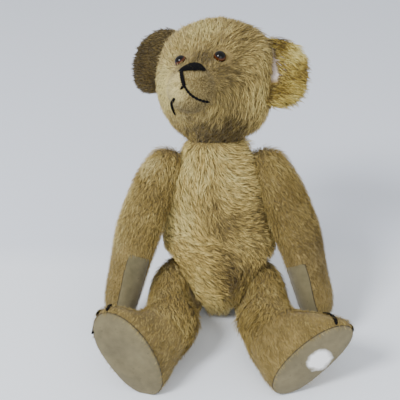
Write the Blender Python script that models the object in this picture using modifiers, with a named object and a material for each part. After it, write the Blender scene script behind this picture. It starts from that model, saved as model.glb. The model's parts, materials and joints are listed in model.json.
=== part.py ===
# Threadbare jointed teddy bear, sitting: mohair covers over wood-wool stuffing, felt pads,
# glass eyes, embroidered nose, mouth and claws, and five card-disc joints (neck, shoulders, hips).
# Frame: +Z up, the bear looks along -Y, its own left is +X, and the origin is the middle of
# the flat it sits on, with the floor at Z = 0.
import math

import bmesh
import bpy
import numpy as np
from mathutils import Matrix, Vector
from mathutils.bvhtree import BVHTree

MM = 0.001
TORSO_SEGMENTS = 16     # sides of the soft cages
HEAD_SEGMENTS = 12
LIMB_SEGMENTS = 8
COVER_THICKNESS = 2.0 * MM
STUFFING_INSET = 3.5 * MM
JOINT_GAP = 0.25 * MM   # half of the gap between two pieces pressed together at a joint
FIT_GAP = 0.3 * MM
DRAW_REACH = 16 * MM    # how deep below its plane a joint's disc draws the cloth up
DRAW_FADE = 8 * MM      # how far outside the disc the drawn cloth falls back

# Each ring of a soft cage: distance along the piece, centre across, half width, half depth,
# centre in depth, and for the legs how far the foot's twist has turned (0 to 1).
TORSO_RINGS = [(217, 0, 0, 0, -1), (215, 0, 25, 22, -1), (206, 0, 38, 31, -1),
               (186, 0, 49, 37, 0), (154, 2, 56, 42, -1), (118, 4, 62, 49, -2),
               (86, 4, 62, 55, -3), (66, 4, 56, 56, -3), (46, 3, 46, 54, -2),
               (26, 3, 34, 45, 0), (9, 3, 24, 34, 2), (0, 3, 16, 24, 4), (-1, 3, 0, 0, 4)]
HEAD_RINGS = [(-52, 0, 0, 0, 0), (-51, 0, 26, 27, 2), (-40, 0, 51, 56, 4), (-14, 0, 64, 71, 4),
              (14, 0, 64, 69, 3), (36, 0, 53, 53, -2), (54, 0, 37, 36, -9), (70, 0, 29, 28, -13),
              (84, 0, 24, 23, -14), (92, 0, 14, 14, -14), (93, 0, 0, 0, -14)]
HEAD_CROWN_SPREAD = 0.03    # the crown is this much wider than the jaw
ARM_RINGS = [(25, 10, 0, 0, 0), (24, 10, 14, 15, 0), (12, 14, 19, 27, 0), (-12, 18, 23, 31, 0),
             (-46, 21, 23.5, 31, 0), (-82, 21, 22.5, 29, 0), (-116, 20, 20.5, 27, 0),
             (-146, 18, 18, 23, 0), (-168, 15, 13.5, 17, 0), (-176, 13, 0, 0, 0)]
LEG_RINGS = [(36, 16, 0, 0, 0, 0), (35, 16, 13, 17, 0, 0), (25, 18, 21, 28, -1, 0),
             (2, 20, 26, 34, -1, 0), (-32, 19.5, 26.5, 32, -2, 0.1), (-60, 13, 25.5, 28, -3, 0.3),
             (-84, 9.5, 26.5, 28, -4, 0.5), (-108, 13, 29.5, 33, -6, 0.85),
             (-128, 18, 29, 44.5, -12.5, 1), (-143, 20, 27.5, 55.5, -21.5, 1), (-152, 20, 26, 52, -21, 1),
             (-158, 20, 24, 49, -21, 1), (-159, 20, 0, 0, -21, 1)]
LEG_TWIST_CENTRE = (20 * MM, -4 * MM)   # the line the foot twists about, across and in depth
SOLE_HEIGHT = -155 * MM     # the flat sole, below the hip in the leg's own frame
SOLE_PAD_THICKNESS = 2.2 * MM
FOOT_REACH = 100 * MM       # further than any part of the foot from the leg's middle line

TORSO_LEAN = 6              # degrees the back leans
TORSO_FOOT = (-2.5 * MM, -14 * MM, -1 * MM)
HEAD_CENTRE = Vector((-5, 25, 265)) * MM
NECK_TILT = 18              # degrees the neck's axis tips back
HEAD_YAW = -18.5            # the head is turned to the bear's right
HEAD_PITCH = 27
HEAD_ROLL = -2
NECK_DROP = 60 * MM         # from the head's centre to the neck joint

SIDES = {"left": 1, "right": -1}
SHOULDER = {"left": (43.5, -1, 163), "right": (-48.5, -1, 163)}
ARM_DIRECTION = {"left": (0.31, -0.45, -0.83), "right": (-0.29, -0.45, -0.84)}
SHOULDER_SLOPE = 0.39 / 0.92    # rise of the shoulder's axis for its run
HIP = {"left": (22, -30, 42), "right": (-23.5, -30, 42)}
LEG_DIRECTION = {"left": (0.265, -0.96, -0.059), "right": (-0.27, -0.955, -0.035)}
HIP_ROLL = 22               # the discs sit on the slope of the lower belly
FOOT_TWIST = {"left": 26, "right": 6}

# Card discs, washers and split pins of the joints.
DISC_RADIUS = {"neck": 17 * MM, "shoulder": 13.5 * MM, "hip": 15 * MM}
DISC_THICKNESS = 2.5 * MM
NECK_FLAT = DISC_RADIUS["neck"] + 9 * MM        # the cloth is flat at least this far out
SHOULDER_FLAT = DISC_RADIUS["shoulder"] + 6 * MM
HIP_FLAT = DISC_RADIUS["hip"] + 6 * MM
WASHER_RADIUS = 6 * MM
WASHER_THICKNESS = 0.8 * MM
PIN_WIRE_RADIUS = 0.7 * MM
PIN_HOLE_RADIUS = 1.9 * MM
POCKET_DEPTH = 13 * MM
ROUND_SIDES = 12
PIN_SHANK_GAP = 0.05 * MM   # half of the gap between a split pin's two legs
PIN_CURL_RADIUS = 1.9 * MM
PIN_EYE_NECK = 0.6 * MM     # from the washer to the pin's eye

# How far from a joint the cloth is pressed onto its plane: fully within the first distance,
# and not at all beyond the second.
NECK_PRESS_TORSO = (50 * MM, 70 * MM)
NECK_PRESS_HEAD = (60 * MM, 80 * MM)
SHOULDER_PRESS_TORSO = (45 * MM, 65 * MM)
HIP_PRESS_TORSO = (42 * MM, 56 * MM)
HIP_PRESS_LEG = (46 * MM, 66 * MM)
PRESS_ALL = (1.0, 2.0)      # wider than any piece: the whole piece stays behind the plane

EYE_RADIUS = 5.8 * MM
EYE_SINK = 1.6 * MM         # how far the middle of the glass lies under the pile
EYE_PLACES = {"left": (20.5, 24), "right": (-20.5, 17)}     # across and up, in the head's frame
SHANK_WIRE_RADIUS = 0.45 * MM
SHANK_LOOP_RADIUS = 1.6 * MM
SHANK_ROOT = 1.2 * MM       # half of the distance between the shank's two ends
SHANK_LENGTH = 7 * MM
CHANNEL_RADIUS = 3.2 * MM   # the way through the stuffing that the shank is pulled into
CHANNEL_DEPTH = 11.5 * MM
CHANNEL_TURN = 10           # degrees, so that no side of it lies along the socket's
STITCH_RADIUS = 0.75 * MM

EAR_HEIGHT = 70 * MM
EAR_THICKNESS = 7.5 * MM
EAR_CUP = 8 * MM
EARS = {
    "left": {"centre": (68, 1, 15), "out": (0.98, 0.10, -0.10), "up": (0.05, 0.10, 1.0)},
    "right": {"centre": (-62, 7, 26), "out": (-0.92, 0.25, 0.12), "up": (0.05, 0.10, 0.95)},
}


def clear_scene():
    for thing in list(bpy.data.objects):
        bpy.data.objects.remove(thing, do_unlink=True)


clear_scene()
parts = bpy.data.collections.new("threadbare_teddy_bear")
cutters = bpy.data.collections.new("cutters")
bpy.context.scene.collection.children.link(parts)
bpy.context.scene.collection.children.link(cutters)


def make_material(name, colour, roughness, metallic=0.0):
    material = bpy.data.materials.new(name)
    material.use_nodes = True
    shader = material.node_tree.nodes["Principled BSDF"]
    shader.inputs["Base Color"].default_value = (*colour, 1.0)
    shader.inputs["Roughness"].default_value = roughness
    shader.inputs["Metallic"].default_value = metallic
    material.diffuse_color = (*colour, 1.0)
    return material


MOHAIR = make_material("gold_mohair", (0.48, 0.36, 0.19), 0.9)
EAR_MOHAIR = make_material("ear_mohair", (0.56, 0.42, 0.18), 0.9)
WOOD_WOOL = make_material("wood_wool", (0.62, 0.50, 0.30), 0.95)
FELT = make_material("grey_beige_felt", (0.42, 0.38, 0.30), 0.95)
GLASS = make_material("amber_glass", (0.16, 0.06, 0.015), 0.08)
THREAD = make_material("black_thread", (0.012, 0.012, 0.015), 0.6)
CARD = make_material("grey_card", (0.45, 0.40, 0.32), 0.85)
STEEL = make_material("pin_steel", (0.42, 0.40, 0.38), 0.4, 1.0)


# --- helpers on objects and meshes ---------------------------------------------------------

def add_object(name, mesh, material=None, collection=parts, parent=None):
    thing = bpy.data.objects.new(name, mesh)
    collection.objects.link(thing)
    thing.parent = parent
    if material:
        mesh.materials.clear()
        mesh.materials.append(material)
    return thing


def add_empty(name, matrix):
    empty = bpy.data.objects.new(name, None)
    parts.objects.link(empty)
    empty.matrix_world = matrix
    return empty


def mesh_from_bmesh(name, shape, smooth=True):
    mesh = bpy.data.meshes.new(name)
    shape.normal_update()
    bmesh.ops.recalc_face_normals(shape, faces=shape.faces)
    shape.to_mesh(mesh)
    shape.free()
    if smooth:
        mesh.shade_smooth()
    return mesh


def evaluated_mesh(thing):
    bpy.context.view_layer.update()
    graph = bpy.context.evaluated_depsgraph_get()
    return bpy.data.meshes.new_from_object(thing.evaluated_get(graph))


def world_matrix(thing):
    bpy.context.view_layer.update()
    return thing.matrix_world.copy()


def read_points(mesh):
    points = np.empty(len(mesh.vertices) * 3)
    mesh.vertices.foreach_get("co", points)
    return points.reshape(-1, 3)


def write_points(mesh, points):
    mesh.vertices.foreach_set("co", np.ascontiguousarray(points, dtype=np.float32).ravel())
    mesh.update()


def cut(thing, cutter, operation="DIFFERENCE"):
    modifier = thing.modifiers.new(f"{operation.lower()}_{cutter.name}", "BOOLEAN")
    modifier.operation = operation
    modifier.solver = "EXACT"
    modifier.object = cutter


def hide_cutter(cutter):
    cutter.hide_render = True
    cutter.display_type = "WIRE"
    return cutter


# --- soft forms ----------------------------------------------------------------------------

def ring_points(ring, segments, side=1, crown_spread=0.0, twist=0.0):
    # One ring of cage points across a piece: an ellipse, swollen so that the smoothed surface
    # has the half width and half depth that the table gives.
    along, across, half_width, half_depth, depth = ring[:5]
    swell = 3 / (2 + math.cos(2 * math.pi / segments))
    angle = np.arange(segments) * 2 * math.pi / segments
    x = np.cos(angle) * half_width * swell * (1 + crown_spread * np.sin(angle))
    y = np.sin(angle) * half_depth * swell + depth
    x = x + side * across
    if twist:
        turn = side * twist * ring[5]
        centre_x, centre_y = side * LEG_TWIST_CENTRE[0] / MM, LEG_TWIST_CENTRE[1] / MM
        x, y = x - centre_x, y - centre_y
        x, y = (x * math.cos(turn) - y * math.sin(turn) + centre_x,
                x * math.sin(turn) + y * math.cos(turn) + centre_y)
    return np.stack([x, y, np.full(segments, float(along))], 1) * MM


def soft_cage(name, rings):
    # A UV sphere whose rings, from its top pole to its bottom pole, are moved onto the given
    # rings of points.
    segments = len(rings[0])
    shape = bmesh.new()
    bmesh.ops.create_uvsphere(shape, u_segments=segments, v_segments=len(rings) - 1, radius=1.0)
    for vertex in shape.verts:
        x, y, z = vertex.co
        ring = round(math.acos(max(-1.0, min(1.0, z))) / math.pi * (len(rings) - 1))
        slot = round(math.atan2(y, x) / (2 * math.pi) * segments) % segments
        vertex.co = Vector(rings[ring][slot])
    return mesh_from_bmesh(name, shape)


def smooth_step(values):
    values = np.clip(values, 0, 1)
    return values * values * (3 - 2 * values)


def press(points, joint, normal, inner, outer, gap=JOINT_GAP, flat=0.0):
    # Pushes the points beyond a plane back onto it: fully within the inner distance of the
    # joint, fading out at the outer one. Within the flat distance the joint's disc also draws
    # the cloth up to the plane from below.
    offset = points - np.array(joint)
    normal = np.array(normal) / np.linalg.norm(normal)
    height = offset @ normal + gap
    radial = np.linalg.norm(offset - (height - gap)[:, None] * normal, axis=1)
    push = smooth_step((outer - radial) / (outer - inner))
    pull = smooth_step((flat + DRAW_FADE - radial) / DRAW_FADE) * (height > -DRAW_REACH)
    return points - (height * np.where(height > 0, push, pull))[:, None] * normal


def to_world(points, matrix):
    linear = np.array(matrix.to_3x3())
    return points @ linear.T + np.array(matrix.translation)


def soft_surface(name, rings, matrix, presses):
    # The smoothed outer surface of a soft piece, in the piece's own frame. The presses are
    # given in world space.
    cage = add_object(name + "_cage", soft_cage(name, rings), collection=cutters)
    smooth = cage.modifiers.new("smooth", "SUBSURF")
    smooth.levels = 1
    smooth.render_levels = 1
    fine = evaluated_mesh(cage)
    bpy.data.objects.remove(cage)
    points = to_world(read_points(fine), matrix)
    for places, options in presses:
        points = press(points, *places, **options)
    points[:, 2] = np.maximum(points[:, 2], 0)
    write_points(fine, to_world(points, matrix.inverted()))
    return fine


def coarse_surface(name, rings, fine):
    # The cage's own faces laid on the smoothed surface, whose first vertices are the cage's.
    coarse = soft_cage(name, rings)
    write_points(coarse, read_points(fine)[:len(coarse.vertices)])
    return coarse


def surface_tree(mesh):
    return BVHTree.FromPolygons([vertex.co.copy() for vertex in mesh.vertices],
                                [tuple(face.vertices) for face in mesh.polygons])


def add_cover(name, surface, parent, matrix=None):
    cover = add_object(name, surface, MOHAIR, parent=parent)
    if matrix:
        cover.matrix_world = matrix
    wall = cover.modifiers.new("cloth", "SOLIDIFY")
    wall.thickness = COVER_THICKNESS
    wall.offset = -1
    return cover


def add_stuffing(name, surface, parent, matrix=None):
    stuffing = add_object(name, surface, WOOD_WOOL, parent=parent)
    if matrix:
        stuffing.matrix_world = matrix
    inset = stuffing.modifiers.new("inset", "DISPLACE")
    inset.strength = -STUFFING_INSET
    inset.mid_level = 0
    return stuffing


# --- round pieces --------------------------------------------------------------------------

def along_axis(axis, point):
    # A frame whose Z is the axis.
    turn = Vector((0, 0, 1)).rotation_difference(Vector(axis).normalized())
    return Matrix.Translation(point) @ turn.to_matrix().to_4x4()


def cylinder_mesh(name, radius, start, end, sides=ROUND_SIDES):
    shape = bmesh.new()
    bmesh.ops.create_cone(shape, cap_ends=True, segments=sides, radius1=radius, radius2=radius,
                          depth=end - start)
    bmesh.ops.translate(shape, verts=shape.verts, vec=(0, 0, (start + end) / 2))
    return mesh_from_bmesh(name, shape, smooth=False)


def cylinder_cutter(name, radius, start, end, matrix):
    cutter = add_object(name, cylinder_mesh(name, radius, start, end), collection=cutters)
    cutter.matrix_world = matrix
    return hide_cutter(cutter)


def turned_ring(name, inner, outer, start, end, material, matrix):
    # A flat ring: a small closed profile carried round the Z axis by a Screw modifier.
    profile = bmesh.new()
    corners = [profile.verts.new(place) for place in
               ((outer, 0, end), (outer, 0, start), (inner, 0, start), (inner, 0, end))]
    for first, second in zip(corners, corners[1:] + corners[:1]):
        profile.edges.new((first, second))
    mesh = bpy.data.meshes.new(name)
    profile.to_mesh(mesh)
    profile.free()
    ring = add_object(name, mesh, material)
    ring.matrix_world = matrix
    screw = ring.modifiers.new("turn", "SCREW")
    screw.steps = ROUND_SIDES
    screw.render_steps = ROUND_SIDES
    screw.use_merge_vertices = True
    screw.merge_threshold = 0.00001
    screw.use_smooth_shade = False
    return ring


def wire(name, points, radius, material, matrix=None, parent=None, resolution=1):
    # A wire or thread: a curve with a round section and closed ends.
    curve = bpy.data.curves.new(name, "CURVE")
    curve.dimensions = "3D"
    curve.bevel_depth = radius
    curve.bevel_resolution = resolution
    curve.use_fill_caps = True
    curve.resolution_u = 1
    curve.render_resolution_u = 1
    spline = curve.splines.new("POLY")
    spline.points.add(len(points) - 1)
    for slot, point in zip(spline.points, points):
        slot.co = (*point, 1)
    curve.materials.append(material)
    thing = bpy.data.objects.new(name, curve)
    parts.objects.link(thing)
    thing.parent = parent
    if matrix:
        thing.matrix_world = matrix
    return thing


def arc(centre, radius, start, end, steps):
    # Points on a circular arc in the XZ plane, its angles in degrees.
    angles = [math.radians(start + (end - start) * step / steps) for step in range(steps + 1)]
    return [(centre[0] + radius * math.cos(a), 0.0, centre[1] + radius * math.sin(a))
            for a in angles]


def split_pin_points():
    # A split pin along Z: one wire folded at its eye, its two legs side by side through the
    # joint and curled apart at the far end.
    leg = PIN_WIRE_RADIUS + PIN_SHANK_GAP
    grip = COVER_THICKNESS + DISC_THICKNESS + WASHER_THICKNESS + 3 * FIT_GAP + PIN_WIRE_RADIUS
    right_curl = arc((leg + PIN_CURL_RADIUS, grip), PIN_CURL_RADIUS, 0, 180, 4)
    eye = arc((0, -grip - PIN_CURL_RADIUS - PIN_EYE_NECK), PIN_CURL_RADIUS, 60, -240, 8)
    left_curl = [(-x, y, z) for x, y, z in reversed(right_curl)]
    shank_foot = grip - FIT_GAP
    return (right_curl + [(leg, 0, shank_foot), (leg, 0, -grip)] + eye
            + [(-leg, 0, -grip), (-leg, 0, shank_foot)] + left_curl)


def add_joint(name, kind, matrix, torso_pieces, limb_pieces):
    # The card discs, washers and split pin of one joint. Z of the matrix is the joint's axis,
    # pointing from the torso to the limb. The pieces are (cover, stuffing) pairs.
    radius = DISC_RADIUS[kind]
    disc_start = JOINT_GAP + COVER_THICKNESS + FIT_GAP
    disc_end = disc_start + DISC_THICKNESS
    washer_start = disc_end + FIT_GAP
    washer_end = washer_start + WASHER_THICKNESS
    hole = PIN_HOLE_RADIUS
    turned_ring(name + "_limb_disc", hole, radius, disc_start, disc_end, CARD, matrix)
    turned_ring(name + "_torso_disc", hole, radius, -disc_end, -disc_start, CARD, matrix)
    turned_ring(name + "_limb_washer", hole, WASHER_RADIUS, washer_start, washer_end, STEEL,
                matrix)
    turned_ring(name + "_torso_washer", hole, WASHER_RADIUS, -washer_end, -washer_start, STEEL,
                matrix)
    wire(name + "_split_pin", split_pin_points(), PIN_WIRE_RADIUS, STEEL, matrix)
    hole_cutter = cylinder_cutter(name + "_pin_hole", PIN_HOLE_RADIUS + FIT_GAP,
                                  -2 * COVER_THICKNESS, 2 * COVER_THICKNESS, matrix)
    near_pocket = cylinder_cutter(name + "_torso_pocket", radius + 3 * FIT_GAP, -POCKET_DEPTH,
                                  0, matrix)
    far_pocket = cylinder_cutter(name + "_limb_pocket", radius + 3 * FIT_GAP, 0, POCKET_DEPTH,
                                 matrix)
    cut(torso_pieces[0], hole_cutter)
    cut(limb_pieces[0], hole_cutter)
    cut(torso_pieces[1], near_pocket)
    cut(limb_pieces[1], far_pocket)


# --- where everything is -------------------------------------------------------------------

def degrees_x(angle):
    return Matrix.Rotation(math.radians(angle), 4, "X")


def limb_frame(origin, direction, right):
    # A limb's frame: its Z points back up the limb, its X to the bear's left.
    up = -Vector(direction).normalized()
    x_axis = Vector(right)
    x_axis = (x_axis - up * x_axis.dot(up)).normalized()
    y_axis = up.cross(x_axis)
    turn = Matrix((x_axis, y_axis, up)).transposed().to_4x4()
    return Matrix.Translation(Vector(origin) * MM) @ turn


def arm_frame(side_name):
    side = SIDES[side_name]
    return limb_frame(SHOULDER[side_name], ARM_DIRECTION[side_name],
                      (1.0, 0.0, side * SHOULDER_SLOPE))


def leg_frame(side_name):
    # The toe first points straight up, then rolls outwards by the hip's roll.
    side = SIDES[side_name]
    direction = Vector(LEG_DIRECTION[side_name]).normalized()
    toe = (Vector((0, 0, 1)) - direction * direction.z).normalized()
    right = (-toe).cross(-direction)
    roll = math.radians(HIP_ROLL)
    toe = toe * math.cos(roll) + side * right * math.sin(roll)
    right = (-toe).cross(-direction)
    return limb_frame(HIP[side_name], direction, right)


torso_matrix = Matrix.Translation(TORSO_FOOT) @ degrees_x(-TORSO_LEAN)
head_turn = (degrees_x(-NECK_TILT) @ Matrix.Rotation(math.radians(HEAD_YAW), 4, "Z")
             @ degrees_x(-(HEAD_PITCH - NECK_TILT))
             @ Matrix.Rotation(math.radians(-HEAD_ROLL), 4, "Y"))
neck_axis = degrees_x(-NECK_TILT).to_3x3() @ Vector((0, 0, 1))
neck_point = HEAD_CENTRE - neck_axis * NECK_DROP
neck_joint = add_empty("neck_joint", Matrix.Translation(neck_point) @ head_turn)
head_origin = add_empty("head_centre", Matrix.Translation(HEAD_CENTRE) @ head_turn)
head_origin.parent = neck_joint
head_origin.matrix_world = Matrix.Translation(HEAD_CENTRE) @ head_turn
head_matrix = world_matrix(head_origin)


# --- torso ---------------------------------------------------------------------------------

def torso_presses():
    presses = [((neck_point, neck_axis, *NECK_PRESS_TORSO), {"flat": NECK_FLAT})]
    for side_name, side in SIDES.items():
        shoulder, hip = arm_frame(side_name), leg_frame(side_name)
        shoulder_out = side * shoulder.to_3x3().col[0]
        hip_out = side * hip.to_3x3().col[0]
        presses.append(((shoulder.translation, shoulder_out, *SHOULDER_PRESS_TORSO),
                        {"flat": SHOULDER_FLAT}))
        presses.append(((hip.translation, hip_out, *HIP_PRESS_TORSO), {"flat": HIP_FLAT}))
    return presses


torso_outer = soft_surface("torso", [ring_points(ring, TORSO_SEGMENTS) for ring in TORSO_RINGS],
                           torso_matrix, torso_presses())
torso = (add_cover("torso_cover", torso_outer, None, torso_matrix),
         add_stuffing("torso_stuffing", torso_outer.copy(), None, torso_matrix))


# --- head ----------------------------------------------------------------------------------

def head_rings():
    # The head's rings run from the back of the skull to the muzzle: the table's distance is
    # forwards, so each ring is turned to face along -Y.
    rings = []
    for ring in HEAD_RINGS:
        flat = ring_points(ring, HEAD_SEGMENTS, crown_spread=HEAD_CROWN_SPREAD)
        rings.append(np.stack([flat[:, 0], -flat[:, 2], flat[:, 1]], 1))
    return rings


head_outer = soft_surface(
    "head", head_rings(), head_matrix,
    [((neck_point, -neck_axis, *NECK_PRESS_HEAD), {"flat": NECK_FLAT})])
head_tree = surface_tree(head_outer)
head = (add_cover("head_cover", head_outer, head_origin),
        add_stuffing("head_stuffing", coarse_surface("head_stuffing", head_rings(), head_outer),
                     head_origin))
add_joint("neck", "neck", along_axis(neck_axis, neck_point), torso, head)


def head_clearance(name, swell):
    # The head's outer surface, swollen a little: what is sewn on is cut back to it.
    clearance = add_object(name, head_outer.copy(), collection=cutters, parent=head_origin)
    grow = clearance.modifiers.new("grow", "DISPLACE")
    grow.strength = swell
    grow.mid_level = 0
    return hide_cutter(clearance)


head_skin = head_clearance("head_skin", FIT_GAP)
nose_skin = head_clearance("nose_skin", 1.5 * MM)


def face_point(across, up, lift):
    # The place on the front of the face at this distance across and up, lifted off the surface.
    start = Vector((across, -200, up)) * MM
    place, normal, _, _ = head_tree.ray_cast(start, Vector((0, 1, 0)))
    return place + normal * lift, normal


# --- eyes ----------------------------------------------------------------------------------

def add_eye(side_name):
    across, up = EYE_PLACES[side_name]
    centre, normal = face_point(across, up, -EYE_SINK)
    frame = head_matrix @ along_axis(normal, centre)
    shape = bmesh.new()
    bmesh.ops.create_uvsphere(shape, u_segments=ROUND_SIDES, v_segments=8, radius=EYE_RADIUS)
    eye = add_object(side_name + "_eye", mesh_from_bmesh("eye", shape), GLASS)
    eye.matrix_world = frame
    # the wire shank: a narrow loop behind the glass
    back = -EYE_RADIUS - FIT_GAP
    loop = ([(-SHANK_ROOT, 0, back)] + arc((0, back - SHANK_LENGTH), SHANK_LOOP_RADIUS, 160, 380, 6)
            + [(SHANK_ROOT, 0, back)])
    wire(side_name + "_eye_shank", loop, SHANK_WIRE_RADIUS, STEEL, frame)
    socket = bmesh.new()
    bmesh.ops.create_uvsphere(socket, u_segments=ROUND_SIDES, v_segments=8,
                              radius=EYE_RADIUS + 1.5 * FIT_GAP)
    socket_cutter = add_object(side_name + "_eye_socket", mesh_from_bmesh("socket", socket),
                               collection=cutters)
    socket_cutter.matrix_world = frame
    hide_cutter(socket_cutter)
    channel = cylinder_cutter(side_name + "_shank_channel", CHANNEL_RADIUS,
                              -EYE_RADIUS - CHANNEL_DEPTH, 0,
                              frame @ Matrix.Rotation(math.radians(CHANNEL_TURN), 4, "Z"))
    cut(head[0], socket_cutter)
    for cutter in (socket_cutter, channel):
        cut(head[1], cutter)


for side_name in SIDES:
    add_eye(side_name)


# --- ears ----------------------------------------------------------------------------------

def add_ear(side_name):
    # A cupped lens of two layers of mohair sewn at the rim, its root cut to the head's side.
    side = SIDES[side_name]
    place = EARS[side_name]
    out = Vector(place["out"]).normalized()
    up = Vector(place["up"])
    up = (up - out * up.dot(out)).normalized()
    across = side * out
    frame = Matrix((across, up, across.cross(up))).transposed().to_4x4()
    frame.translation = Vector(place["centre"]) * MM
    profile = [(0, 0), (0.45, 1), (0.85, 0.85), (1.0, 0), (0.85, -0.85), (0.45, -1), (0, 0)]
    radius = EAR_HEIGHT / 2
    rings = []
    for step, (reach, height) in enumerate(profile):
        top = 1 if step == 0 else -1 if step == len(profile) - 1 else height
        angle = np.arange(LIMB_SEGMENTS) * 2 * math.pi / LIMB_SEGMENTS
        swell = 3 / (2 + math.cos(2 * math.pi / LIMB_SEGMENTS))
        x, y = (reach * radius * swell * f(angle) for f in (np.cos, np.sin))
        z = np.full(LIMB_SEGMENTS, top * EAR_THICKNESS / 2) + EAR_CUP * reach ** 2
        rings.append(np.stack([x, y, z], 1))
    ear = add_object(side_name + "_ear", soft_cage(side_name + "_ear", rings), EAR_MOHAIR,
                     parent=head_origin)
    ear.matrix_world = head_matrix @ frame
    smooth = ear.modifiers.new("smooth", "SUBSURF")
    smooth.levels = 1
    smooth.render_levels = 1
    cut(ear, head_skin)


for side_name in SIDES:
    add_ear(side_name)


# --- nose and mouth ------------------------------------------------------------------------

NOSE_CHORD = ((-11.5, 1.5), (16.5, 4.0))    # ends of the nose, across and up, mm
NOSE_RISE = 8.5
NOSE_SAG = 1.2
NOSE_FRONT = 105 * MM       # the nose's prism runs through the muzzle between these two depths
NOSE_BACK = 60 * MM


def bow(start, end, rise, steps):
    # Points on a shallow curve from start to end, bowed to its left by the rise.
    start, end = Vector(start), Vector(end)
    run = end - start
    left = Vector((-run.y, run.x)).normalized()
    return [start + run * (k / steps) + left * rise * math.sin(math.pi * k / steps) ** 0.8
            for k in range(steps + 1)]


def add_nose():
    # The nose is an arch of satin stitches: its outline, pushed through the muzzle and kept
    # only between the pile and the top of the thread.
    upper = bow(*NOSE_CHORD, NOSE_RISE, 8)
    lower = bow(*NOSE_CHORD, NOSE_SAG, 4)[1:-1]
    outline = upper + list(reversed(lower))
    shape = bmesh.new()
    face = shape.faces.new([shape.verts.new((p.x * MM, -NOSE_FRONT, p.y * MM)) for p in outline])
    grown = bmesh.ops.extrude_face_region(shape, geom=[face])
    back = [v for v in grown["geom"] if isinstance(v, bmesh.types.BMVert)]
    bmesh.ops.translate(shape, verts=back, vec=(0, NOSE_FRONT - NOSE_BACK, 0))
    nose = add_object("nose_stitching", mesh_from_bmesh("nose", shape, smooth=False), THREAD,
                      parent=head_origin)
    cut(nose, nose_skin, "INTERSECT")
    cut(nose, head_skin)


add_nose()


# The places, across and up in mm, that each stitch of the mouth is laid through.
FACE_STITCHES = {
    "nose_to_mouth_stitch": [(-5.4, -0.3), (-4.8, -3.6), (-3.9, -6.8), (-2.6, -9.8), (-1.4, -12)],
    "left_mouth_stitch": [(0.4, -14.6), (2.6, -17.6), (6.0, -20.8), (10.2, -23.3), (14.8, -25),
                          (18.6, -25.6), (21.8, -25.4)],
    "right_mouth_stitch": [(-3.4, -13.6), (-4.4, -15.0), (-5.6, -16.2)],
    "right_mouth_corner_stitch": [(-16.5, -26.5), (-19.6, -29.4), (-21.8, -32.8),
                                  (-22.6, -36.4)],
}
for stitch_name, stitch_places in FACE_STITCHES.items():
    stitch_points = [face_point(across, up, STITCH_RADIUS + 1.5 * FIT_GAP)[0]
                     for across, up in stitch_places]
    wire(stitch_name, stitch_points, STITCH_RADIUS, THREAD, parent=head_origin)


# --- arms ----------------------------------------------------------------------------------

PAW_PAD_TOP = {"left": -103 * MM, "right": -93 * MM}    # the paws are not sewn alike
PAW_PAD_TURN = {"left": 33, "right": 16}    # degrees the pad turns inwards from the front
PAW_PAD_END = -182 * MM
PAW_PAD_HALF_WIDTH = 10.5 * MM
PAW_PAD_CENTRE = 19 * MM    # the middle of the paw, out from the shoulder's line
PAW_PAD_REACH = 60 * MM


def outline_prism(name, outline, reach, matrix):
    # A prism with this outline in XY, from Z = 0 to Z = reach.
    shape = bmesh.new()
    face = shape.faces.new([shape.verts.new((x, y, 0)) for x, y in outline])
    grown = bmesh.ops.extrude_face_region(shape, geom=[face])
    top = [v for v in grown["geom"] if isinstance(v, bmesh.types.BMVert)]
    bmesh.ops.translate(shape, verts=top, vec=(0, 0, reach))
    prism = add_object(name, mesh_from_bmesh(name, shape, smooth=False), collection=cutters)
    prism.matrix_world = matrix
    return hide_cutter(prism)


def paw_outline(side_name, shrink):
    # A pointed arch: the top of the pad is narrow, and it runs off the end of the paw.
    half = PAW_PAD_HALF_WIDTH - shrink
    top = PAW_PAD_TOP[side_name] - shrink
    length = top - PAW_PAD_END
    shoulders = [(0.35, 0.0), (0.8, -0.16), (1.0, -0.4), (1.0, -1.0)]
    right = [(half * x, top + length * y) for x, y in shoulders]
    return right + [(-x, y) for x, y in reversed(right)]


def add_arm(side_name):
    side = SIDES[side_name]
    frame = arm_frame(side_name)
    joint = add_empty(side_name + "_shoulder_joint", frame)
    rings = [ring_points(r, LIMB_SEGMENTS, side) for r in ARM_RINGS]
    outward = side * frame.to_3x3().col[0]
    outer = soft_surface(side_name + "_arm", rings, frame,
                        [((frame.translation, -outward, *PRESS_ALL), {"flat": SHOULDER_FLAT})])
    pad_mesh = outer.copy()
    stuffing = coarse_surface(side_name + "_arm_stuffing", rings, outer)
    arm = (add_cover(side_name + "_arm_cover", outer, joint),
           add_stuffing(side_name + "_arm_stuffing", stuffing, joint))
    add_joint(side_name + "_shoulder", "shoulder", along_axis(outward, frame.translation),
              torso, arm)
    # The pad faces inwards and forwards: its prism starts on the arm's middle line.
    turn = math.radians(PAW_PAD_TURN[side_name])
    facing = Vector((-side * math.sin(turn), -math.cos(turn), 0))
    x_axis = Vector((0, 0, 1)).cross(facing).normalized()
    y_axis = Vector((0, 0, 1))
    turn = Matrix((x_axis, y_axis, x_axis.cross(y_axis))).transposed().to_4x4()
    turn.translation = (side * PAW_PAD_CENTRE, 0, 0)
    opening = outline_prism(side_name + "_paw_opening", paw_outline(side_name, 0), PAW_PAD_REACH,
                            frame @ turn)
    blank = outline_prism(side_name + "_paw_blank", paw_outline(side_name, 1.2 * FIT_GAP),
                          PAW_PAD_REACH, frame @ turn)
    cut(arm[0], opening)
    pad = add_object(side_name + "_paw_pad", pad_mesh, FELT, parent=joint)
    wall = pad.modifiers.new("felt", "SOLIDIFY")
    wall.thickness = COVER_THICKNESS
    wall.offset = -1
    cut(pad, blank, "INTERSECT")


for side_name in SIDES:
    add_arm(side_name)


# --- legs ----------------------------------------------------------------------------------

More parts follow.
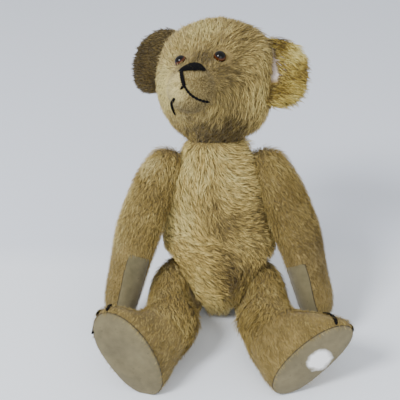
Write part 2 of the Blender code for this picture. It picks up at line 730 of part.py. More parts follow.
def add_leg(side_name):
    side = SIDES[side_name]
    frame = leg_frame(side_name)
    joint = add_empty(side_name + "_hip_joint", frame)
    twist = math.radians(FOOT_TWIST[side_name])
    rings = [ring_points(r, LIMB_SEGMENTS, side, twist=twist) for r in LEG_RINGS]
    outward = side * frame.to_3x3().col[0]
    down = -frame.to_3x3().col[2]
    sole_point = frame @ Vector((0, 0, SOLE_HEIGHT))
    presses = [((sole_point, down, *PRESS_ALL), {"gap": 0.0}),
               ((frame.translation, -outward, *HIP_PRESS_LEG), {"flat": HIP_FLAT})]
    outer = soft_surface(side_name + "_leg", rings, frame, presses)
    pad_mesh = outer.copy()
    leg = (add_cover(side_name + "_leg_cover", outer, joint),
           add_stuffing(side_name + "_leg_stuffing", outer.copy(), joint))
    add_joint(side_name + "_hip", "hip", along_axis(outward, frame.translation), torso, leg)
    # The felt sole is the bottom slice of the foot, and the cover is open above it.
    reach = FOOT_REACH
    square = [(-reach, -reach), (reach, -reach), (reach, reach), (-reach, reach)]
    pad_top = SOLE_HEIGHT + SOLE_PAD_THICKNESS
    below = outline_prism(side_name + "_sole_opening", square, reach,
                          frame @ Matrix.Translation((0, 0, pad_top + FIT_GAP - reach)))
    above = outline_prism(side_name + "_sole_trim", square, 3 * reach,
                          frame @ Matrix.Translation((0, 0, pad_top)))
    cut(leg[0], below)
    cut(leg[1], below)
    pad = add_object(side_name + "_sole_pad", pad_mesh, FELT, parent=joint)
    cut(pad, above)
    return joint, surface_tree(outer), twist


# Claw stitches: degrees outward from the middle of the toe, and length up the toe in mm.
CLAWS = {"right": [(2, 9), (19, 9), (52, 7)], "left": [(-20, 21), (14, 8)]}
CLAW_START = 3 * MM         # above the sole
CLAW_POINTS = 7
TOE_ROOT = -20 * MM         # the middle of the toe, in front of the line the foot twists about


def add_claws(side_name, joint, tree, twist):
    side = SIDES[side_name]
    foot_turn = Matrix.Rotation(side * twist, 3, "Z")
    origin = (Vector((side * LEG_TWIST_CENTRE[0], LEG_TWIST_CENTRE[1], 0))
              + foot_turn @ Vector((0, TOE_ROOT, 0)))
    for number, (degrees, length) in enumerate(CLAWS[side_name], 1):
        claw_turn = Matrix.Rotation(side * math.radians(degrees), 3, "Z")
        outwards = foot_turn @ claw_turn @ Vector((0, -1, 0))
        points = []
        for step in range(CLAW_POINTS):
            origin.z = (SOLE_HEIGHT + SOLE_PAD_THICKNESS + CLAW_START
                        + length * MM * step / (CLAW_POINTS - 1))
            place, normal, _, _ = tree.ray_cast(origin + outwards * 2 * FOOT_REACH, -outwards)
            points.append(place + normal * (STITCH_RADIUS + 2 * FIT_GAP))
        wire(f"{side_name}_claw_stitch_{number}", points, STITCH_RADIUS, THREAD, parent=joint)


for side_name in SIDES:
    add_claws(side_name, *add_leg(side_name))
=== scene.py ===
import json
import math

import bpy
import numpy as np
from mathutils import Matrix, Vector
from mathutils.bvhtree import BVHTree


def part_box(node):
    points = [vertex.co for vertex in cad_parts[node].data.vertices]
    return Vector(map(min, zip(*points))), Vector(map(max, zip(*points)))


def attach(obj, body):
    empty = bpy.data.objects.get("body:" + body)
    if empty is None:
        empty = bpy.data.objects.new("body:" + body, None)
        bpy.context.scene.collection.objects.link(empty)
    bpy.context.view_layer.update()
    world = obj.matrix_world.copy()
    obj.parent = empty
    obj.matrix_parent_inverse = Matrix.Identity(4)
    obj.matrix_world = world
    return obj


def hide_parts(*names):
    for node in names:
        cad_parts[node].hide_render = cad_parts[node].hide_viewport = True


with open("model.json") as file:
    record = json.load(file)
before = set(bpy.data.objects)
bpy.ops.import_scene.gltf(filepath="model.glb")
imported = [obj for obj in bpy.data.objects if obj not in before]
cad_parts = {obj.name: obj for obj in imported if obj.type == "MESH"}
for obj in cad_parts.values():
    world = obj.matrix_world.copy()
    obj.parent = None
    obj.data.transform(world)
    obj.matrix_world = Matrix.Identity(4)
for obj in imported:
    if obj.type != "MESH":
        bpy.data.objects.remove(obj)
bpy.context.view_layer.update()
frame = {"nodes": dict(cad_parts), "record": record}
mm = 0.001
sides = {"left": 1, "right": -1}
# shared by all the soft pieces: gaps and reaches, the rows and columns of each one's grid, and
# how many segments each ring of its cage has
body = {"seed": 7, "skinSink": 0.7 * mm, "floorGap": 0.4 * mm, "jointGap": 0.25 * mm,
        "drawReach": 16 * mm, "drawFade": 8 * mm,
        "grids": {"torso": (110, 96), "head": (110, 96), "arm": (90, 56), "leg": (110, 72),
                  "ear": (60, 72)},
        "segments": {"torso": 16, "head": 12, "arm": 8, "leg": 8, "ear": 8}}
noiseSeeds = {"ruffle": 40, "stray": 50, "lock": 60, "patch": 70, "ear": 80, "sole": 90}

# camera first: a long lens looking down on the sitting bear
camera = {"target": (-0.021, -0.028, 0.150), "elevation": 28.0, "distance": 1.0, "lens": 81.8,
          "sensor": 36.0, "nearest": 0.05}


def makeCamera():
    # it stands back from its target by its distance, towards -Y and up by its elevation
    data = bpy.data.cameras.new("camera")
    data.lens = camera["lens"]
    data.sensor_width = camera["sensor"]
    data.clip_start = camera["nearest"]
    eye = bpy.data.objects.new("camera", data)
    tip = math.radians(camera["elevation"])
    back = Vector((0.0, -math.cos(tip), math.sin(tip)))
    eye.location = Vector(camera["target"]) + back * camera["distance"]
    eye.rotation_euler = (math.pi / 2 - tip, 0.0, 0.0)
    bpy.context.scene.collection.objects.link(eye)
    bpy.context.scene.camera = eye


makeCamera()


def unit(vectors):
    # each vector divided by its own length
    return vectors / np.maximum(np.linalg.norm(vectors, axis=-1, keepdims=True), 1e-12)


def smoothStep(low, high, values):
    # 0 below low, 1 above high, and 3t^2 - 2t^3 between
    t = np.clip((values - low) / (high - low), 0.0, 1.0)
    return t * t * (3 - 2 * t)


def shareFrom(least, share):
    # from the least value, where the share is 0, up to 1
    return least + (1 - least) * share


def signedPower(values, power):
    # each value's size to a power, its sign kept: a power below 1 makes a circle squarer
    return np.sign(values) * np.abs(values) ** power


def circleAngles(count):
    # the angles of so many points evenly round a circle
    return np.arange(count) * 2 * math.pi / count


def latticeValue(cells, seed):
    # a repeatable number from 0 to 1 for each whole-number cell (x, y, z): large odd numbers
    # scramble the three and the seed
    mask = 0xFFFFFFFF
    mixed = (cells[..., 0] * 374761393 + cells[..., 1] * 668265263
             + cells[..., 2] * 1442695041 + seed * 1274126177) & mask
    mixed = ((mixed ^ (mixed >> 13)) * 1274126177) & mask
    return (mixed ^ (mixed >> 16)) / mask


def softNoise(points, size, seed):
    # value noise: the eight corners of each cell's box, blended by 3t^2 - 2t^3
    scaled = points / size
    cells = np.floor(scaled).astype(np.int64)
    part = smoothStep(0, 1, scaled - cells)
    total = 0.0
    for corner in range(8):
        step = np.array([corner & 1, (corner >> 1) & 1, corner >> 2])
        weight = np.prod(np.where(step == 1, part, 1 - part), axis=-1)
        total = total + weight * latticeValue(cells + step, seed)
    return total


def softNoise3(points, size, seed):
    # three independent noises as a vector centred on zero
    return np.stack([softNoise(points, size, seed + k) for k in range(3)], -1) - 0.5


def makeMesh(name, points, quads=None, triangles=None, uvs=None, material=None):
    # points (n, 3), quads (a, 4), triangles (b, 3), and one uv for each point
    mesh = bpy.data.meshes.new(name)
    groups = [faces for faces in (quads, triangles) if faces is not None and len(faces)]
    corners = np.concatenate([faces.ravel() for faces in groups]).astype(np.int32)
    sizes = np.concatenate([np.full(len(faces), faces.shape[1]) for faces in groups])
    starts = np.concatenate([[0], np.cumsum(sizes)[:-1]]).astype(np.int32)
    mesh.vertices.add(len(points))
    mesh.vertices.foreach_set("co", np.ascontiguousarray(points, dtype=np.float32).ravel())
    mesh.loops.add(len(corners))
    mesh.loops.foreach_set("vertex_index", corners)
    mesh.polygons.add(len(sizes))
    mesh.polygons.foreach_set("loop_start", starts)
    mesh.update(calc_edges=True)
    mesh.shade_smooth()
    if uvs is not None:
        layer = mesh.uv_layers.new(name="OFBake")
        layer.data.foreach_set("uv", np.ascontiguousarray(uvs[corners], dtype=np.float32).ravel())
    if material:
        mesh.materials.append(material)
    thing = bpy.data.objects.new(name, mesh)
    bpy.context.scene.collection.objects.link(thing)
    return thing


# rings of a soft form, mm: distance along, centre across, half width, half depth, centre in
# depth, and on a leg the share of the foot's twist
torsoRings = [(217, 0, 0, 0, -1), (215, 0, 25, 22, -1), (206, 0, 38, 31, -1),
              (186, 0, 49, 37, 0), (154, 2, 56, 42, -1), (118, 4, 62, 49, -2),
              (86, 4, 62, 55, -3), (66, 4, 56, 56, -3), (46, 3, 46, 54, -2),
              (26, 3, 34, 45, 0), (9, 3, 24, 34, 2), (0, 3, 16, 24, 4), (-1, 3, 0, 0, 4)]
headRings = [(-52, 0, 0, 0, 0), (-51, 0, 26, 27, 2), (-40, 0, 51, 56, 4), (-14, 0, 64, 71, 4),
             (14, 0, 64, 69, 3), (36, 0, 53, 53, -2), (54, 0, 37, 36, -9), (70, 0, 29, 28, -13),
             (84, 0, 24, 23, -14), (92, 0, 14, 14, -14), (93, 0, 0, 0, -14)]
armRings = [(25, 10, 0, 0, 0), (24, 10, 14, 15, 0), (12, 14, 19, 27, 0), (-12, 18, 23, 31, 0),
            (-46, 21, 23.5, 31, 0), (-82, 21, 22.5, 29, 0), (-116, 20, 20.5, 27, 0),
            (-146, 18, 18, 23, 0), (-168, 15, 13.5, 17, 0), (-176, 13, 0, 0, 0)]
legRings = [(36, 16, 0, 0, 0, 0), (35, 16, 13, 17, 0, 0), (25, 18, 21, 28, -1, 0),
            (2, 20, 26, 34, -1, 0), (-32, 19.5, 26.5, 32, -2, 0.1), (-60, 13, 25.5, 28, -3, 0.3),
            (-84, 9.5, 26.5, 28, -4, 0.5), (-108, 13, 29.5, 33, -6, 0.85),
            (-128, 18, 29, 44.5, -12.5, 1), (-143, 20, 27.5, 55.5, -21.5, 1),
            (-152, 20, 26, 52, -21, 1), (-158, 20, 24, 49, -21, 1), (-159, 20, 0, 0, -21, 1)]
joints = {joint["name"]: joint for joint in frame["record"]["behaviour"]["joints"]}
pose = {
    "torsoLean": 6, "torsoFoot": (-2.5, -14, -1), "headCentre": (-5, 25, 265), "neckTilt": 18,
    "headYaw": -18.5, "headPitch": 27, "headRoll": -2, "crownSpread": 0.03,
    "armWay": {"left": (0.31, -0.45, -0.83), "right": (-0.29, -0.45, -0.84)},
    "legWay": {"left": (0.265, -0.96, -0.059), "right": (-0.27, -0.955, -0.035)},
    "footTwist": {"left": 26, "right": 6}, "footTwistCentre": (20, -4), "soleHeight": -155,
}


def turn(degrees, axis):
    # a turn about one axis through the origin
    return Matrix.Rotation(math.radians(degrees), 4, axis)


def jointPlace(name):
    # the joint's own point, in metres
    return Vector(joints[name]["pos_m"])


def jointOut(name):
    # the joint's axis, pointing away from the body: up at the neck, to its own side on a limb
    axis = Vector(joints[name]["axis"]).normalized()
    return -axis if axis.x * sides.get(name.split("_")[0], 0) < 0 else axis


def limbMatrix(joint, way, side):
    # z runs back up the limb, x along the joint's axis to the bear's left
    up = -Vector(way).normalized()
    xAxis = side * jointOut(joint)
    xAxis = (xAxis - up * xAxis.dot(up)).normalized()
    matrix = Matrix((xAxis, up.cross(xAxis), up)).transposed().to_4x4()
    return Matrix.Translation(jointPlace(joint)) @ matrix


torsoMatrix = Matrix.Translation(Vector(pose["torsoFoot"]) * mm) @ turn(-pose["torsoLean"], "X")
headMatrix = (Matrix.Translation(Vector(pose["headCentre"]) * mm) @ turn(-pose["neckTilt"], "X")
              @ turn(pose["headYaw"], "Z") @ turn(-(pose["headPitch"] - pose["neckTilt"]), "X")
              @ turn(-pose["headRoll"], "Y"))
armMatrix = {s: limbMatrix(s + "_shoulder", pose["armWay"][s], sides[s]) for s in sides}
legMatrix = {s: limbMatrix(s + "_hip", pose["legWay"][s], sides[s]) for s in sides}


def ringSwell(segments):
    # a cubic B-spline draws a ring in to (2 + cos(2 pi / segments)) / 3, and this undoes it
    return 3 / (2 + math.cos(2 * math.pi / segments))


def ringCage(rings, segments, side=1, crownSpread=0.0, twist=0.0):
    # ellipses stacked along z, each swollen so that the smoothed surface has its stated size
    table = np.array([tuple(ring[:5]) for ring in rings], float)
    twists = np.array([ring[5] if len(ring) > 5 else 0.0 for ring in rings]) * twist * side
    angle, swell = circleAngles(segments), ringSwell(segments)
    along, across, halfWidth, halfDepth, depth = (table[:, k:k + 1] for k in range(5))
    x = np.cos(angle) * halfWidth * swell * (1 + crownSpread * np.sin(angle)) + side * across
    y = np.sin(angle) * halfDepth * swell + depth
    centreX, centreY = side * pose["footTwistCentre"][0], pose["footTwistCentre"][1]
    c, s = np.cos(twists)[:, None], np.sin(twists)[:, None]
    x, y = ((x - centreX) * c - (y - centreY) * s + centreX,
            (x - centreX) * s + (y - centreY) * c + centreY)
    return np.stack([x, y, along + 0 * x], -1) * mm


def splineWeights(places, count, wrap):
    # one row of cubic B-spline weights over the control rows for each place
    start = np.floor(places).astype(int)
    t = places - start
    basis = np.stack([(1 - t) ** 3, 3 * t ** 3 - 6 * t ** 2 + 4,
                      -3 * t ** 3 + 3 * t ** 2 + 3 * t + 1, t ** 3], 1) / 6
    weights = np.zeros((len(places), count))
    rows = np.arange(len(places))
    for k in range(4):
        slots = start + k - 1
        slots = slots % count if wrap else np.clip(slots + 1, 0, count - 1)
        np.add.at(weights, (rows, slots), basis[:, k])
    return weights


def splineSurface(cage, rows, columns):
    # a uniform bicubic B-spline over the cage: v along the rings, u around them. Past each
    # pole the next ring is met again from its far side, so the surface closes there.
    rings, segments = cage.shape[:2]
    half = segments // 2
    extended = np.concatenate([np.roll(cage[1:2], half, 1), cage, np.roll(cage[-2:-1], half, 1)])
    v = np.linspace(0, rings - 1, rows + 1)
    v[-1] -= 1e-9
    u = np.arange(columns) * segments / columns
    alongWeights = splineWeights(v, rings + 2, False)
    aroundWeights = splineWeights(u, segments, True)
    return np.einsum("ai,bj,ijk->abk", alongWeights, aroundWeights, extended)


def toWorld(points, matrix):
    # every point turned and moved by the matrix
    return points @ np.array(matrix.to_3x3()).T + np.array(matrix.translation)


def press(points, joint, normal, inner, outer, gap, flat):
    # what lies beyond a plane is moved back onto it, fully within the inner distance and not
    # at all past the outer one; within the flat distance the cloth is drawn up to it too
    offset = points - np.array(joint)
    normal = np.array(normal) / np.linalg.norm(normal)
    height = offset @ normal + gap
    radial = np.linalg.norm(offset - (height - gap)[..., None] * normal, axis=-1)
    push = 1 - smoothStep(inner, outer, radial)
    pull = 1 - smoothStep(flat, flat + body["drawFade"], radial)
    pull = pull * (height > -body["drawReach"])
    return points - (height * np.where(height > 0, push, pull))[..., None] * normal


def surfaceNormals(points):
    # the cross product of the steps along and around the grid, turned to point outwards
    along = np.gradient(points, axis=0)
    around = np.roll(points, -1, 1) - np.roll(points, 1, 1)
    normals = np.cross(around, along)
    normals[0] = normals[1].sum(0)
    normals[-1] = normals[-2].sum(0)
    normals = unit(normals)
    centre = points.reshape(-1, 3).mean(0)
    return normals * np.sign(((points - centre) * normals).sum())


def near(points, where, reach):
    # a soft round spot: 1 at its middle, falling as exp(-(distance / reach)^2)
    distance = np.linalg.norm(points - np.array(where) * mm, axis=-1)
    return np.exp(-(distance / (reach * mm)) ** 2)


# where the stuffing bulges or has sunk: a place, its reach and its height, mm
bulges = {
    "torso": [((-42, 2, 206), 16, 8), ((40, 2, 206), 16, 8), ((-62, -20, 100), 24, 3),
              ((62, -20, 98), 24, 3), ((-44, -28, 168), 24, 7), ((42, -28, 170), 22, 5),
              ((55, -38, 82), 22, 5), ((-54, -40, 82), 22, 4)],
    "head": [((45, 14, 312), 20, 6.5), ((30, 18, 322), 18, 5), ((-50, 30, 314), 18, 3),
             ((-15, 30, 332), 24, -2), ((42, 0, 248), 20, 4), ((36, 0, 230), 16, 4)],
    "left_arm": [((52, -3, 190), 24, 5), ((112, -45, 120), 50, 4.5), ((88, -10, 170), 26, 2),
                 ((124, -85, 55), 26, 6)],
    "right_arm": [((-56, -3, 190), 24, 5), ((-112, -50, 120), 50, 3), ((-88, -10, 170), 26, 2),
                  ((-120, -85, 58), 24, 4)],
    "left_leg": [((22, -95, 40), 26, 7), ((42, -140, 28), 26, 6), ((125, -165, 38), 32, -4),
                 ((100, -165, 18), 26, -3), ((74, -40, 82), 24, 8), ((96, -136, 80), 24, 6)],
    "right_leg": [((-118, -165, 62), 36, 5), ((-28, -110, 38), 28, 6), ((-78, -40, 82), 24, 8),
                  ((-88, -165, 12), 24, 3)],
    "left_ear": [((78, -4, 256), 18, 5)], "right_ear": [((-80, 58, 250), 18, 7)],
}


def kindOf(name):
    # a name without its side: left_hip is a hip
    return name.split("_")[-1]


def softForm(name, cage, matrix, presses):
    # points and normals of one stuffed piece, in world space, standing on the floor
    rows, columns = body["grids"][kindOf(name)]
    points = toWorld(splineSurface(cage, rows, columns), matrix)
    normals = surfaceNormals(points)
    for where, reach, height in bulges[name]:
        points = points + normals * (height * mm * near(points, where, reach))[..., None]
    for options in presses:
        points = press(points, **options)
    points[..., 2] = np.maximum(points[..., 2], 0.0)
    return {"points": points, "normals": surfaceNormals(points)}


# at a joint, mm: each form is pressed flat out to the first distance and not past the second,
# the cloth is drawn up flat within one reach, and no pile grows within the other
pressReach = {"torso": {"neck": (50, 70), "shoulder": (45, 65), "hip": (42, 56)},
              "head": (60, 80), "leg": (46, 66), "everywhere": (1000, 2000)}
flatReach = {"neck": 26, "shoulder": 19.5, "hip": 21}
bareReach = {"neck": 26, "shoulder": 20, "hip": 21}
bareEdge = {"height": (0.6 * mm, 3.5 * mm), "fade": 6}


def pressAt(joint, way, reach):
    # the plane at the joint, square to its axis: way is 1 for the torso and -1 for what hangs
    # on the joint, so that each stays on its own side
    inner, outer = np.array(reach) * mm
    return {"joint": jointPlace(joint), "normal": way * jointOut(joint), "inner": inner,
            "outer": outer, "gap": body["jointGap"], "flat": flatReach[kindOf(joint)] * mm}


def torsoForm():
    # a stack of rings, flat where the neck and the limbs are jointed
    reach = pressReach["torso"]
    presses = [pressAt("neck", 1, reach["neck"])]
    for s in sides:
        presses += [pressAt(f"{s}_{joint}", 1, reach[joint]) for joint in ("shoulder", "hip")]
    cage = ringCage(torsoRings, body["segments"]["torso"])
    return softForm("torso", cage, torsoMatrix, presses)


def headForm():
    # the head's rings run from the back of the skull forwards along -Y
    cage = ringCage(headRings, body["segments"]["head"], crownSpread=pose["crownSpread"])
    cage = np.stack([cage[..., 0], -cage[..., 2], cage[..., 1]], -1)
    return softForm("head", cage, headMatrix, [pressAt("neck", -1, pressReach["head"])])


def armForm(s):
    # a stack of rings hung from the shoulder, all of it kept outside the joint's plane
    presses = [pressAt(s + "_shoulder", -1, pressReach["everywhere"])]
    cage = ringCage(armRings, body["segments"]["arm"], sides[s])
    return softForm(s + "_arm", cage, armMatrix[s], presses)


def legForm(s):
    # a stack of rings hung from the hip, its foot twisted, and cut off flat at the sole
    matrix = legMatrix[s]
    inner, outer = np.array(pressReach["everywhere"]) * mm
    sole = {"joint": matrix @ Vector((0, 0, pose["soleHeight"] * mm)),
            "normal": -matrix.to_3x3().col[2], "inner": inner, "outer": outer, "gap": 0.0,
            "flat": -1.0}     # below 0: nothing is drawn up to the plane
    cage = ringCage(legRings, body["segments"]["leg"], sides[s],
                    twist=math.radians(pose["footTwist"][s]))
    return softForm(s + "_leg", cage, matrix, [sole, pressAt(s + "_hip", -1, pressReach["leg"])])


forms = {"torso": torsoForm(), "head": headForm()}
for s in sides:
    forms[s + "_arm"] = armForm(s)
    forms[s + "_leg"] = legForm(s)
print("soft forms", len(forms))


def setInputs(node, values):
    # each value goes to the input of its name, which is written with _ for a space
    for name, value in values.items():
        node.inputs[name.replace("_", " ")].default_value = value


def newMaterial(name, roughness, **sockets):
    # a finish with one shader, and some of its inputs set
    material = bpy.data.materials.new(name)
    material.use_nodes = True
    tree = material.node_tree
    shader = tree.nodes["Principled BSDF"]
    setInputs(shader, dict(sockets, Roughness=roughness))
    return material, tree, shader


def addNode(tree, kind, **inputs):
    # a node of this kind, with some of its inputs set
    node = tree.nodes.new("ShaderNode" + kind)
    setInputs(node, inputs)
    return node


def feed(tree, value, socket):
    # another node's output is linked, and a plain value is set
    if isinstance(value, bpy.types.NodeSocket):
        tree.links.new(value, socket)
    else:
        socket.default_value = value


screenGamma = 2.2     # from a screen's colour to the light that it gives


def rampColour(tree, source, stops):
    # stops are (place, (red, green, blue)), the colours from 0 to 255 as a screen shows them
    ramp = addNode(tree, "ValToRGB")
    elements = ramp.color_ramp.elements
    while len(elements) < len(stops):
        elements.new(0.5)
    for element, (at, colour) in zip(elements, stops):
        element.position = at
        element.color = (*[(value / 255) ** screenGamma for value in colour], 1.0)
    tree.links.new(source, ramp.inputs["Fac"])
    return ramp.outputs["Color"]


def mixColours(tree, share, first, second, blend="MIX"):
    # from the first colour to the second by the share, or another blend of the two
    mix = addNode(tree, "Mix")
    mix.data_type = "RGBA"
    mix.blend_type = blend
    for value, number in ((share, 0), (first, 6), (second, 7)):
        feed(tree, value, mix.inputs[number])
    return mix.outputs[2]


def combine(tree, operation, first, second):
    # two values added, subtracted or multiplied
    node = addNode(tree, "Math")
    node.operation = operation
    feed(tree, first, node.inputs[0])
    feed(tree, second, node.inputs[1])
    return node.outputs[0]


def objectPlace(tree):
    # where a point lies on the piece, whichever way its body has moved
    return addNode(tree, "TexCoord").outputs["Object"]


def splitAxes(tree, vector):
    # a vector's X, Y and Z
    split = addNode(tree, "SeparateXYZ")
    tree.links.new(vector, split.inputs["Vector"])
    return split.outputs


def ownUv(tree):
    # the piece's own u and v, as X and Y
    uv = addNode(tree, "UVMap")
    uv.uv_map = "OFBake"
    return splitAxes(tree, uv.outputs["UV"])


def between(tree, value, start, end):
    # 0 at the start, 1 at the end, straight between and held past both
    edge = addNode(tree, "MapRange", From_Min=start, From_Max=end)
    tree.links.new(value, edge.inputs["Value"])
    return edge.outputs["Result"]


def distanceFrom(tree, where):
    # metres from a place that is given in mm
    distance = addNode(tree, "VectorMath")
    distance.operation = "DISTANCE"
    distance.inputs[1].default_value = [value * mm for value in where]
    tree.links.new(objectPlace(tree), distance.inputs[0])
    return distance.outputs["Value"]


def patchShare(tree, distance, reach, edge):
    # 1 within a patch and 0 past it, over an edge so many mm either side of its reach
    return between(tree, distance, (reach + edge) * mm, (reach - edge) * mm)


def objectNoise(tree, scale, detail, stretch=(1.0, 1.0, 1.0)):
    # noise that stays with the piece, stretched along its axes
    mapping = addNode(tree, "Mapping", Scale=stretch)
    noise = addNode(tree, "TexNoise", Scale=scale, Detail=detail)
    tree.links.new(objectPlace(tree), mapping.inputs["Vector"])
    tree.links.new(mapping.outputs["Vector"], noise.inputs["Vector"])
    return noise.outputs["Fac"]


def addBump(tree, shader, height, strength, distance):
    # the light catches the surface as if it rose by the height times the distance
    bump = addNode(tree, "Bump", Strength=strength, Distance=distance)
    tree.links.new(height, bump.inputs["Height"])
    tree.links.new(bump.outputs["Normal"], shader.inputs["Normal"])


def pileMaterial(name, stops, rootPaintedShade=0.38):
    # a fibre's u is its tone and its v runs from root to tip: deep in the pile it is painted
    # darker, as painted shade between the fibres
    material, tree, shader = newMaterial(name, 0.6, Sheen_Weight=0.08, Sheen_Roughness=0.4,
                                         Specular_IOR_Level=0.2)
    uv = ownUv(tree)
    # painted shade: the colour darkens from the tip down to the root, standing in for the shade
    # deep in the pile
    depth = rampColour(tree, uv["Y"], [(0.0, (255 * rootPaintedShade,) * 3), (0.5, (215,) * 3),
                                       (1.0, (255,) * 3)])
    colour = mixColours(tree, 1.0, rampColour(tree, uv["X"], stops), depth, "MULTIPLY")
    tree.links.new(colour, shader.inputs["Base Color"])
    return material


# noises as (scale, detail), the bump's strength and height, and how wide a patch's edge is
weave = {"dirt": (60.0, 6.0), "threads": 260.0, "bump": 0.5, "height": 0.4 * mm, "patchEdge": 3}


def wovenMaterial(name, stops, patch=None):
    # cotton backing: threads crossing in three directions, dirt in soft patches, and on an ear
    # a paler patch
    material, tree, shader = newMaterial(name, 0.9, Sheen_Weight=0.1)
    dirt = objectNoise(tree, *weave["dirt"])
    colour = rampColour(tree, dirt, stops)
    if patch:
        inside = patchShare(tree, distanceFrom(tree, patch["at"]), patch["reach"],
                            weave["patchEdge"])
        colour = mixColours(tree, inside, colour, rampColour(tree, dirt, patch["stops"]))
    tree.links.new(colour, shader.inputs["Base Color"])
    height = 0.0
    for axis in "XYZ":
        wave = addNode(tree, "TexWave", Scale=weave["threads"], Distortion=1.0, Detail=1.0)
        wave.bands_direction = axis
        tree.links.new(objectPlace(tree), wave.inputs["Vector"])
        height = combine(tree, "ADD", wave.outputs["Fac"], height)
    addBump(tree, shader, height, weave["bump"], weave["height"])
    return material


felt = {"mottle": (130.0, 8.0), "mottleShare": 0.45, "soil": (28.0, 3.0), "soilShare": 0.55,
        "specks": (420.0, 1.0), "speckStops": [(0.735, (255,) * 3), (0.765, (150, 140, 120))],
        "grain": (900.0, 4.0), "bump": 0.55, "height": 0.5 * mm, "patchEdge": 2.5, "ragged": 9,
        "bleached": (0.88, 0.88, 0.88, 1.0)}


def feltMaterial(name, stops, patch=None):
    # matted wool: fine mottle, soil, a few dark specks, and where it is rubbed a bleached patch
    # whose edge is made ragged by the mottle
    material, tree, shader = newMaterial(name, 0.95, Sheen_Weight=0.3, Sheen_Roughness=0.5)
    mottle = objectNoise(tree, *felt["mottle"])
    soil = objectNoise(tree, *felt["soil"])
    blended = combine(tree, "ADD", combine(tree, "MULTIPLY", mottle, felt["mottleShare"]),
                      combine(tree, "MULTIPLY", soil, felt["soilShare"]))
    specks = rampColour(tree, objectNoise(tree, *felt["specks"]), felt["speckStops"])
    colour = mixColours(tree, 1.0, rampColour(tree, blended, stops), specks, "MULTIPLY")
    if patch:
        ragged = combine(tree, "SUBTRACT", mottle, 0.5)
        ragged = combine(tree, "MULTIPLY", ragged, felt["ragged"] * mm)
        distance = combine(tree, "ADD", distanceFrom(tree, patch["at"]), ragged)
        inside = patchShare(tree, distance, patch["reach"], felt["patchEdge"])
        colour = mixColours(tree, inside, colour, felt["bleached"])
    tree.links.new(colour, shader.inputs["Base Color"])
    addBump(tree, shader, objectNoise(tree, *felt["grain"]), felt["bump"], felt["height"])
    return material


plain = {"detail": 4.0, "height": 0.3 * mm}


def plainMaterial(name, stops, roughness, grain=200.0, bump=0.2, stretch=(1.0, 1.0, 1.0),
                  **sockets):
    # card, steel, wood wool and thread: grain between two colours, and its bump
    material, tree, shader = newMaterial(name, roughness, **sockets)
    noise = objectNoise(tree, grain, plain["detail"], stretch)
    tree.links.new(rampColour(tree, noise, stops), shader.inputs["Base Color"])
    addBump(tree, shader, noise, bump, plain["height"])
    return material


bodyPile = pileMaterial("bodyPile", [(0.0, (104, 84, 42)), (0.3, (166, 142, 82)),
                                     (0.6, (236, 206, 122)), (1.0, (255, 236, 158))])
headPile = pileMaterial("headPile", [(0.0, (88, 71, 34)), (0.3, (142, 122, 70)),
                                     (0.6, (216, 189, 116)), (1.0, (255, 236, 154))])
limbPile = pileMaterial("limbPile", [(0.0, (90, 72, 26)), (0.3, (142, 118, 60)),
                                     (0.6, (190, 165, 96)), (1.0, (238, 218, 150))])
# the clipped muzzle pile gets a lighter painted shade at its roots
muzzlePile = pileMaterial("muzzlePile", [(0.0, (80, 66, 36)), (0.35, (132, 114, 72)),
                                         (0.65, (194, 174, 118)), (1.0, (252, 235, 166))], 0.75)
goldPile = pileMaterial("goldPile", [(0.0, (92, 70, 22)), (0.35, (156, 130, 56)),
                                     (0.65, (212, 188, 98)), (1.0, (250, 234, 146))])
# painted shade: a darker copy of the ear pile for the right ear, standing in for the shade on its
# face
shadedOlivePile = pileMaterial("shadedOlivePile", [(0.0, (44, 34, 12)), (0.4, (84, 68, 28)),
                                       (0.7, (124, 105, 56)), (1.0, (184, 164, 104))])
bodyBacking = wovenMaterial("bodyBacking", [(0.3, (108, 92, 50)), (0.7, (142, 122, 74))])
goldBacking = wovenMaterial("goldBacking", [(0.3, (112, 90, 40)), (0.7, (144, 120, 62))],
                            patch={"at": (56, 12, 294), "reach": 19,
                                   "stops": [(0.3, (164, 146, 130)), (0.7, (196, 182, 172))]})
# painted shade: a darker copy of the ear backing for the shaded right ear
shadedBrownBacking = wovenMaterial("shadedBrownBacking", [(0.3, (66, 52, 28)), (0.7, (96, 80, 48))])
padFelt = feltMaterial("padFelt", [(0.3, (80, 74, 50)), (0.7, (114, 105, 76))])
soleFelt = feltMaterial("soleFelt", [(0.3, (84, 76, 51)), (0.7, (112, 103, 73))])
rubbedFelt = feltMaterial("rubbedFelt", [(0.3, (87, 79, 54)), (0.7, (117, 107, 77))],
                          patch={"at": (100, -169, 41), "reach": 12.5})
blackThread = plainMaterial("blackThread", [(0.3, (5, 5, 8)), (0.7, (16, 14, 18))], 0.7,
                            grain=900.0, bump=0.5, Specular_IOR_Level=0.12)
seamThread = plainMaterial("seamThread", [(0.3, (44, 36, 24)), (0.7, (72, 62, 42))], 0.8,
                           grain=900.0, bump=0.5)


def signedVolume(points, triangles):
    # six times the volume: each triangle's corner dotted with the cross product of the others
    a, b, c = (points[triangles[:, k]] - points[0] for k in range(3))
    return (a * np.cross(b, c)).sum()


def gridQuads(rows, columns):
    # the faces of a grid that closes round its columns, and the number of each point
    index = np.arange(rows * columns).reshape(rows, columns)
    after = np.roll(index, -1, 1)
    quads = np.stack([index[:-1], after[:-1], after[1:], index[1:]], -1).reshape(-1, 4)
    return quads, index, after


